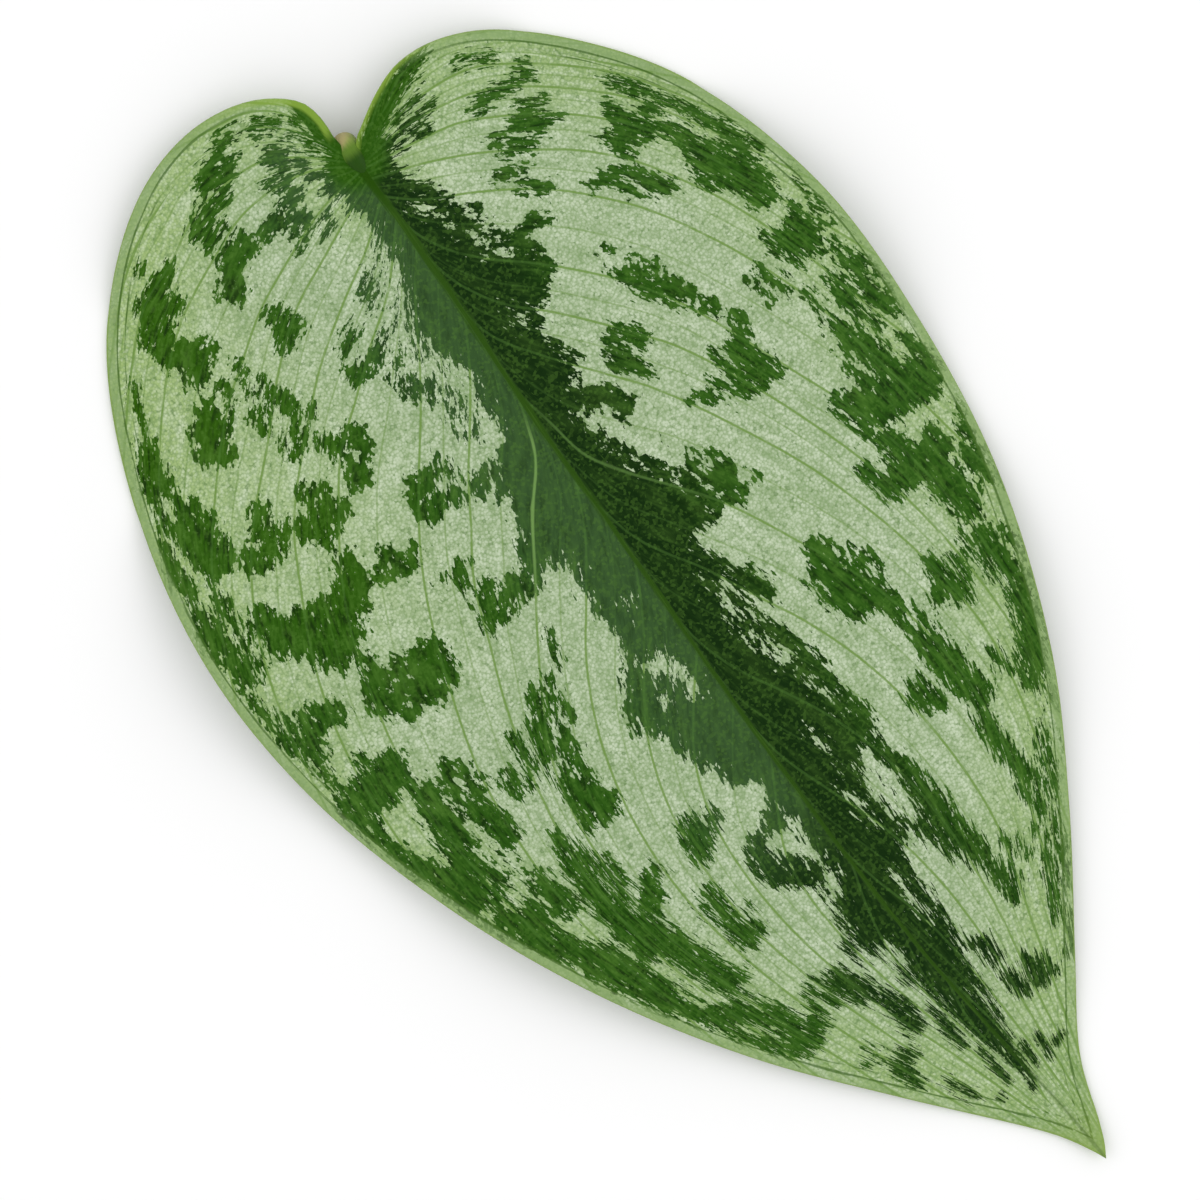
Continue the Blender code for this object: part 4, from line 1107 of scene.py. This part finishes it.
def noise(tree, across, along, seed, detail=1.0, roughness=0.5):
    place = add_node(tree, "ShaderNodeCombineXYZ", None, {0: across, 1: along, 2: seed})
    return add_node(tree, "ShaderNodeTexNoise", None,
                    {"Vector": place, "Scale": 1.0, "Detail": detail, "Roughness": roughness})


def skin_cells(tree):
    """The depth from a skin cell's middle to its wall, and a random tone for each cell."""
    place = add_node(tree, "ShaderNodeTexCoord", None, None, output=3)
    place = add_node(tree, "ShaderNodeVectorMath", {"operation": "SCALE"}, {0: place, 3: 1 / (CELL * MM)})
    depth = add_node(tree, "ShaderNodeTexVoronoi", None, {"Vector": place, "Scale": 1.0})
    shade = Wire(tree, depth.socket.node.outputs["Color"])
    return depth, add_node(tree, "ShaderNodeSeparateColor", None, {0: shade})


def stored(tree, name):
    return add_node(tree, "ShaderNodeAttribute", {"attribute_name": name}, output=2)


def add_bump(tree, shader, strength, distance, relief):
    bump = add_node(tree, "ShaderNodeBump", None,
                    {"Strength": strength, "Distance": distance * MM, "Height": relief})
    tree.links.new(bump.socket, shader.inputs["Normal"])


def new_material(name, roughness, gloss):
    material = bpy.data.materials.new(name)
    material.use_nodes = True
    shader = material.node_tree.nodes["Principled BSDF"]
    shader.inputs["Roughness"].default_value = roughness
    shader.inputs["Specular IOR Level"].default_value = gloss
    return material, material.node_tree, shader


# %% Mask between silver and green
TORN = 4.6
RAGGED = 2.4
CELL_EDGE = 0.5
GROWN = 0.3
SHARP = 0.05
MOST_SPECKS = 0.5
FEWEST_SPECKS = 0.75
FEWEST_GLINTS = 0.76
SPECK_EDGE = 0.03


def green_mask(tree, across, along, open_gap, tone):
    """1 where the skin is green and 0 where it is silver, with specks and glints strewn about."""
    green, mottle = stored(tree, "green"), stored(tree, "mottle")
    torn = noise(tree, across * 1.3, along * 0.28, 1.0, detail=3.0, roughness=0.6) - 0.5
    ragged = noise(tree, across * 3.5, along * 1.1, 2.0) - 0.5
    ground = green.high(mottle.rise(-1.0, 1.2) * 2.8 - 3.3)
    frayed = torn * TORN + ragged * RAGGED + GROWN
    level = ground + frayed * open_gap + (tone - 0.5) * CELL_EDGE
    mask = level.rise(-SHARP, SHARP)
    grit = noise(tree, across * 2.6, along * 0.9, 3.0, detail=3.0, roughness=0.7)
    strewn = (mottle.rise(-1.0, 1.2) * 0.6).high(green.rise(-2.6, -0.2) * 0.42)
    speck = grit + strewn * (FEWEST_SPECKS - MOST_SPECKS) + (tone - 0.5) * 0.06 + (open_gap - 1) * 0.06
    glitter = noise(tree, across * 2.9, along * 0.55, 4.0, detail=3.0, roughness=0.7)
    glint = glitter + (0 - green).rise(-3.2, -0.2) * 0.16 + mottle.rise(-0.5, 1.5) * 0.1
    glint = glint + (tone - 0.5) * 0.06 + (open_gap - 1) * 0.12
    mask = mask.high(speck.rise(FEWEST_SPECKS, FEWEST_SPECKS + SPECK_EDGE))
    return mask * (1 - glint.rise(FEWEST_GLINTS, FEWEST_GLINTS + SPECK_EDGE))


# %% Veins on the face
STRONG_VEIN = 12.0


def vein_line(number, gap, share, half_width):
    """1 on the veins that divide each step of the number into so many shares, and 0 between them."""
    away = (number * share).ping_pong(0.5) * gap * (1 / share)
    return away.rise(half_width, half_width * 0.35)


def veins(number, gap):
    """The main veins, and a finer one between each two of them."""
    return vein_line(number, gap, 1, 0.21).high(vein_line(number, gap, 2, 0.15) * 0.55) * gap.rise(0.3, 1.2)


def strong_vein(number, along, gap, rib, streak):
    """The one vein in each half that shows pale in the green, stronger in the wide half."""
    away = abs(number - STRONG_VEIN) * gap + (streak - 0.5) * 0.3
    strength = rib.rise(-1.0, 1.0) * 0.5 + 0.2
    return away.rise(0.28, 0.06) * along.rise(2.0, 7.0) * along.rise(32.0, 16.0) * strength


# %% Colours of the face
SILVER_MIDDLE = colour(170, 188, 152)
SILVER_OUTER = colour(156, 181, 120)
SILVER_SUNNY = colour(164, 191, 112)
SILVER_SHADE = colour(118, 148, 92)
SILVER_LIGHT = colour(206, 218, 192)
SILVER_PIT = colour(84, 116, 62)
# The green by the midrib is the leaf's own deep green, with painted shade in the narrow half and a painted
# sheen, lighter and hazier, in the wide half.
GREEN_NARROW_PAINTED_SHADE = colour(16, 43, 8)
GREEN_WIDE_PAINTED_SHEEN = colour(52, 82, 42)
GREEN_OUTER = colour(40, 82, 14)
GREEN_SUNNY = colour(44, 88, 0)
GREEN_SHADE = colour(10, 34, 2)
GREEN_LIGHT = colour(86, 128, 48)
VEIN_ON_SILVER = colour(108, 142, 66)
VEIN_ON_GREEN = colour(80, 122, 52)
STRONG_ON_GREEN = colour(120, 158, 86)
MARGIN_BAND = colour(132, 160, 102)
MARGIN_LINE = colour(62, 98, 30)
EDGE = colour(122, 150, 66)
SINUS_RIM = colour(132, 164, 62)
SINUS_GREEN = colour(38, 82, 2)
MIDRIB_GREEN = colour(44, 78, 14)
MIDRIB_LINE = colour(70, 106, 36)
NECK_GREEN = colour(34, 72, 0)
PETIOLE_TOP_GREEN = colour(88, 122, 34)
TIP_GREEN = colour(132, 160, 68)


def silver_colour(edge, sunny, cloud, tone, depth):
    base = edge.rise(1.5, 16.0).mix(SILVER_OUTER, SILVER_MIDDLE)
    base = (sunny * 0.45).mix(base, SILVER_SUNNY)
    base = (cloud.rise(0.48, 0.75) * 0.5).mix(base, SILVER_SHADE)
    base = ((1 - cloud).rise(0.48, 0.72) * 0.55).mix(base, SILVER_LIGHT)
    base = (tone.rise(0.4, 1.0) * 0.35).mix(base, SILVER_LIGHT)
    base = ((1 - tone).rise(0.5, 1.0) * 0.25 + depth.rise(0.38, 0.7) * 0.5).mix(base, SILVER_SHADE)
    return (tone.rise(0.06, 0.02) * 0.4).mix(base, SILVER_PIT)


def green_colour(rib, edge, notch, near, sunny, cloud, streak, tone):
    # Painted light: the green by the midrib is lighter and hazier in the wide half (painted sheen) and
    # darker in the narrow half (painted shade).
    wide = rib.rise(-0.6, 0.6) * notch.rise(102.0, 88.0)
    heart_sheen_and_shade = wide.mix(GREEN_NARROW_PAINTED_SHADE, GREEN_WIDE_PAINTED_SHEEN)
    base = abs(rib).rise(6.0, 17.0).mix(heart_sheen_and_shade, GREEN_OUTER)
    base = sunny.mix(base, GREEN_SUNNY)
    base = (near * edge.rise(5.0, 2.5)).mix(base, SINUS_GREEN)
    calm = abs(rib).rise(3.0, 14.0) * 0.6 + 0.4
    base = ((cloud.rise(0.45, 0.75) * 0.35 + streak.rise(0.5, 0.75) * 0.35) * calm).mix(base, GREEN_LIGHT)
    base = ((1 - streak).rise(0.45, 0.7) * 0.8 * calm).mix(base, GREEN_SHADE)
    return (tone.rise(0.5, 1.0) * 0.25).mix(base, GREEN_LIGHT)


def margin_colour(tree, base, edge, number, near, rib, notch, tone):
    """The narrow band along the edge with its dark lines, and the green rim beside the petiole."""
    wander = noise(tree, edge * 2.2, number * 1.6, 9.0, detail=2.0, roughness=0.6) - 0.5
    place = edge + wander * 0.5
    before_tip = notch.rise(130.0, 100.0)
    strength = 0.65 + wander * 0.5 + (tone - 0.5) * 0.6
    band = place.rise(1.5, 0.9) * (1 - near) * strength * (before_tip * 0.6 + 0.4)
    base = band.mix(base, MARGIN_BAND)
    first = abs(place - 1.3).rise(0.17, 0.06) * wander.rise(-0.22, -0.02)
    second = abs(place - 2.3).rise(0.15, 0.05) * wander.rise(-0.05, 0.1)
    base = (first.high(second) * (1 - near) * 0.8).mix(base, MARGIN_LINE)
    beside_petiole = rib.rise(0.2, -0.4).high(notch.rise(3.0, 5.0))
    rim = place - rib.rise(-1.0, 1.0) * 0.35
    base = (rim.rise(0.8, 0.15) * near * beside_petiole * 0.85).mix(base, SINUS_RIM)
    return (edge.rise(0.3, 0.1) * 0.7 * (1 - near)).mix(base, EDGE)


def midrib_colour(tree, base, rib, notch, groove):
    grain = noise(tree, rib * 5.0, notch * 0.15, 10.0) - 0.5
    shown = (groove + grain * 1.2).rise(0.95, 0.35) * (0.95 - notch.rise(122.0, 142.0) * 0.65)
    green = notch.rise(9.0, 2.0).mix(MIDRIB_GREEN, NECK_GREEN)
    green = (grain.rise(0.0, 0.25) * 0.5).mix(green, MIDRIB_LINE)
    return (notch.rise(0.9, 0.1) * 0.5).mix(shown.mix(base, green), PETIOLE_TOP_GREEN)


def satin_face():
    """Near is 1 round the petiole, and sunny is 1 in the yellower outer part of the wide lobe."""
    material, tree, shader = new_material("satin_face", roughness=0.5, gloss=0.05)
    number, along, gap = stored(tree, "number"), stored(tree, "along"), stored(tree, "gap")
    edge, rib, notch, groove = (stored(tree, name) for name in ("edge", "rib", "notch", "groove"))
    across = number * MILLIMETRES_A_NUMBER
    depth, tone = skin_cells(tree)
    cloud = noise(tree, across * 1.1, along * 0.16, 6.0, detail=2.0, roughness=0.6)
    streak = noise(tree, across * 2.4, along * 0.3, 8.0, detail=2.0, roughness=0.65)
    near = notch.rise(22.0, 9.0)
    sunny = rib.rise(10.0, 34.0) * notch.rise(75.0, 35.0)
    open_gap = gap.rise(-0.4, 2.7)
    streak = (streak - 0.5) * (open_gap * 0.7 + 0.3) + 0.5
    mask = green_mask(tree, across, along, open_gap, tone)
    line = veins(number, gap) * streak.rise(0.1, 0.5)
    silver = (line * 0.9).mix(silver_colour(edge, sunny, cloud, tone, depth), VEIN_ON_SILVER)
    green = green_colour(rib, edge, notch, near, sunny, cloud, streak, tone)
    green = (line * 0.3).mix(green, VEIN_ON_GREEN)
    green = strong_vein(number, along, gap, rib, streak).mix(green, STRONG_ON_GREEN)
    base = margin_colour(tree, mask.mix(silver, green), edge, number, near, rib, notch, tone)
    base = (notch.rise(138.0, 148.0) * 0.55).mix(base, TIP_GREEN)
    base = midrib_colour(tree, base, rib, notch, groove)
    tree.links.new(base.socket, shader.inputs["Base Color"])
    add_bump(tree, shader, 0.4, SKIN_RELIEF, depth * -0.5 - line * 0.8 - cloud * 2.0)
    tree.links.new((0.52 - mask * 0.08).socket, shader.inputs["Roughness"])
    return material


# %% [markdown]
# ## The underside and the petiole
#
# Below, the leaf has no silver: it is pale, dull green, with its veins a little paler still and the keel
# palest. The petiole is the same green with fine lines along it, and turns tan where it was bent and
# cut, partly its own colour and partly a painted highlight on that side of the bend. Both are built
# from the same noise, so the two faces of the leaf belong together.

# %% Underside and petiole materials
UNDER_GREEN = colour(138, 168, 114)
UNDER_SHADE = colour(104, 140, 80)
UNDER_VEIN = colour(176, 198, 148)
KEEL_GREEN = colour(160, 186, 116)
PETIOLE_GREEN = colour(136, 154, 72)
PETIOLE_LINE = colour(100, 132, 46)
# Tan of the bent stub, partly its own colour and partly a painted highlight.
PETIOLE_TAN_AND_HIGHLIGHT = colour(170, 154, 108)


def underside():
    material, tree, shader = new_material("leaf_underside", roughness=0.6, gloss=0.2)
    number, along, gap = stored(tree, "number"), stored(tree, "along"), stored(tree, "gap")
    depth, tone = skin_cells(tree)
    cloud = noise(tree, number * 1.7, along * 0.15, 12.0, detail=4.0, roughness=0.6)
    base = (cloud.rise(0.4, 0.75) * 0.6).mix(UNDER_GREEN, UNDER_SHADE)
    base = (tone * 0.3).mix(base, UNDER_SHADE)
    line = veins(number, gap)
    base = (line * 0.6).mix(base, UNDER_VEIN)
    base = abs(stored(tree, "rib")).rise(1.6, 0.6).mix(base, KEEL_GREEN)
    base = (stored(tree, "edge").rise(1.2, 0.2) * 0.6).mix(base, EDGE)
    tree.links.new(base.socket, shader.inputs["Base Color"])
    add_bump(tree, shader, 0.3, SKIN_RELIEF, line - depth * 0.5)
    return material


def petiole_skin():
    material, tree, shader = new_material("petiole_skin", roughness=0.5, gloss=0.15)
    place = add_node(tree, "ShaderNodeTexCoord", None, None, output=3)
    x, y, z = (add_node(tree, "ShaderNodeSeparateXYZ", None, {0: place}, output=axis) * (1 / MM)
               for axis in range(3))
    start = to_frame([(*PETIOLE_TOP, 0.0)])[0] / MM
    x, y = x - float(start[0]), y - float(start[1])
    lines = noise(tree, x * 5.0, z * 0.7, 13.0, detail=3.0)
    base = (lines.rise(0.4, 0.7) * 0.6).mix(PETIOLE_GREEN, PETIOLE_LINE)
    # Tan on one side of the bend: partly the stub's own colour, partly a painted highlight.
    tan_and_highlight = (x * 0.8 - y + (lines - 0.5) * 1.5).rise(1.0, 2.6)
    base = (tan_and_highlight * 0.8).mix(base, PETIOLE_TAN_AND_HIGHLIGHT)
    upper_side = z.rise(3.6, 4.6)
    upwards = y + (lines - 0.5) * 0.8
    base = (upwards.rise(-2.5, -1.2) * upper_side).mix(base, PETIOLE_TOP_GREEN)
    base = (upwards.rise(-1.2, 0.3) * upper_side).mix(base, NECK_GREEN)
    base = y.rise(2.2, 3.2).mix(base, KEEL_GREEN)
    tree.links.new(base.socket, shader.inputs["Base Color"])
    add_bump(tree, shader, 0.3, 2 * SKIN_RELIEF, lines)
    return material


blade.data.materials.append(satin_face())
blade.data.materials.append(underside())
petiole.data.materials.append(petiole_skin())
print("materials:", [material.name for material in bpy.data.materials])

# %% [markdown]
# ## Set the pieces on the imported leaf
#
# The imported leaf stays in the simulation as a plain solid, and these two pieces are what one sees of it.
# Nothing on a leaf turns or slides, so both ride on its one body.

# %% Ride and replace
for piece in (blade, petiole):
    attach(piece, "root")
    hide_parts("leaf")

# %% [markdown]
# ## Floor, light and camera
#
# A picked leaf is usually photographed on white paper, from straight above, in light that comes from all
# round. A large pale floor and a white sky do that. Only the part of the sky right above is dimmer,
# because a satin leaf mirrors it and would lose its deep greens. Two large soft lamps at the sides give
# the veins a little relief. The camera has a long lens, far off, so that the leaf keeps the proportions
# of its plan.

# %% Floor
FLOOR_SIZE = 4.0
FLOOR_PALE = 0.97


def build_floor():
    half = FLOOR_SIZE / 2
    mesh = bpy.data.meshes.new("floor")
    corners = [(-half, -half, 0), (half, -half, 0), (half, half, 0), (-half, half, 0)]
    mesh.from_pydata(corners, [], [(0, 1, 2, 3)])
    made = add_object("floor", mesh)
    material, _, shader = new_material("pale_floor", roughness=0.9, gloss=0.2)
    shader.inputs["Base Color"].default_value = (FLOOR_PALE, FLOOR_PALE, FLOOR_PALE, 1.0)
    mesh.materials.append(material)
    return made


floor = build_floor()

# %% Light
OVERHEAD = 0.7
SKY = 1.08
LAMP_SIZE = 1.2
LAMPS = [("key", (-1.1, 0.35, 0.95), 3.0), ("fill", (0.9, -0.9, 1.0), 2.0)]

scene = bpy.context.scene
scene.view_settings.view_transform = "Standard"
world = bpy.data.worlds.new("studio")
scene.world = world
world.use_nodes = True


def dim_overhead(tree):
    """White light from the sides and less from straight above, where a flat leaf would mirror it."""
    up = add_node(tree, "ShaderNodeTexCoord", None, None, output=0)
    height_of_ray = add_node(tree, "ShaderNodeSeparateXYZ", None, {0: up}, output=2)
    brightness = height_of_ray.rise(0.95, 0.6) * (SKY - OVERHEAD) + OVERHEAD
    tree.links.new(brightness.socket, tree.nodes["Background"].inputs["Strength"])


world.node_tree.nodes["Background"].inputs["Color"].default_value = (1.0, 1.0, 1.0, 1.0)
dim_overhead(world.node_tree)


def add_area_light(name, place, size, power):
    light = bpy.data.lights.new(name, "AREA")
    light.shape = "DISK"
    light.size = size
    light.energy = power
    made = add_object(name, light)
    made.location = place
    made.rotation_euler = (Vector((0, 0, 0)) - Vector(place)).to_track_quat("-Z", "Y").to_euler()


for name, place, power in LAMPS:
    add_area_light(name, place, LAMP_SIZE, power)

# %% Camera
PHOTO_PIXELS = 1200
PIXELS_A_MILLIMETRE = 8.48
VIEW_MIDDLE = (8.4, 61.5)
VIEW_HEIGHT = 5.0
ACROSS_IN_PICTURE = (-0.8006, 0.5993)
LENS = 250.0
SENSOR = 36.0
FURTHEST_SEEN = 20.0

frame_width = PHOTO_PIXELS / PIXELS_A_MILLIMETRE
distance = frame_width * LENS / SENSOR
middle = to_frame([(*VIEW_MIDDLE, VIEW_HEIGHT)])[0]
right = Vector((*ACROSS_IN_PICTURE, 0.0))
up = Vector((-ACROSS_IN_PICTURE[1], ACROSS_IN_PICTURE[0], 0.0))
lens = bpy.data.cameras.new("camera")
lens.lens = LENS
lens.sensor_width = SENSOR
lens.clip_end = FURTHEST_SEEN
camera = add_object("camera", lens)
turn = Matrix((right, up, right.cross(up))).transposed()
place = (middle[0], middle[1], middle[2] + distance * MM)
camera.matrix_world = Matrix.Translation(place) @ turn.to_4x4()
scene.camera = camera
print("the picture is", round(frame_width, 1), "mm wide, seen from", round(distance), "mm above")
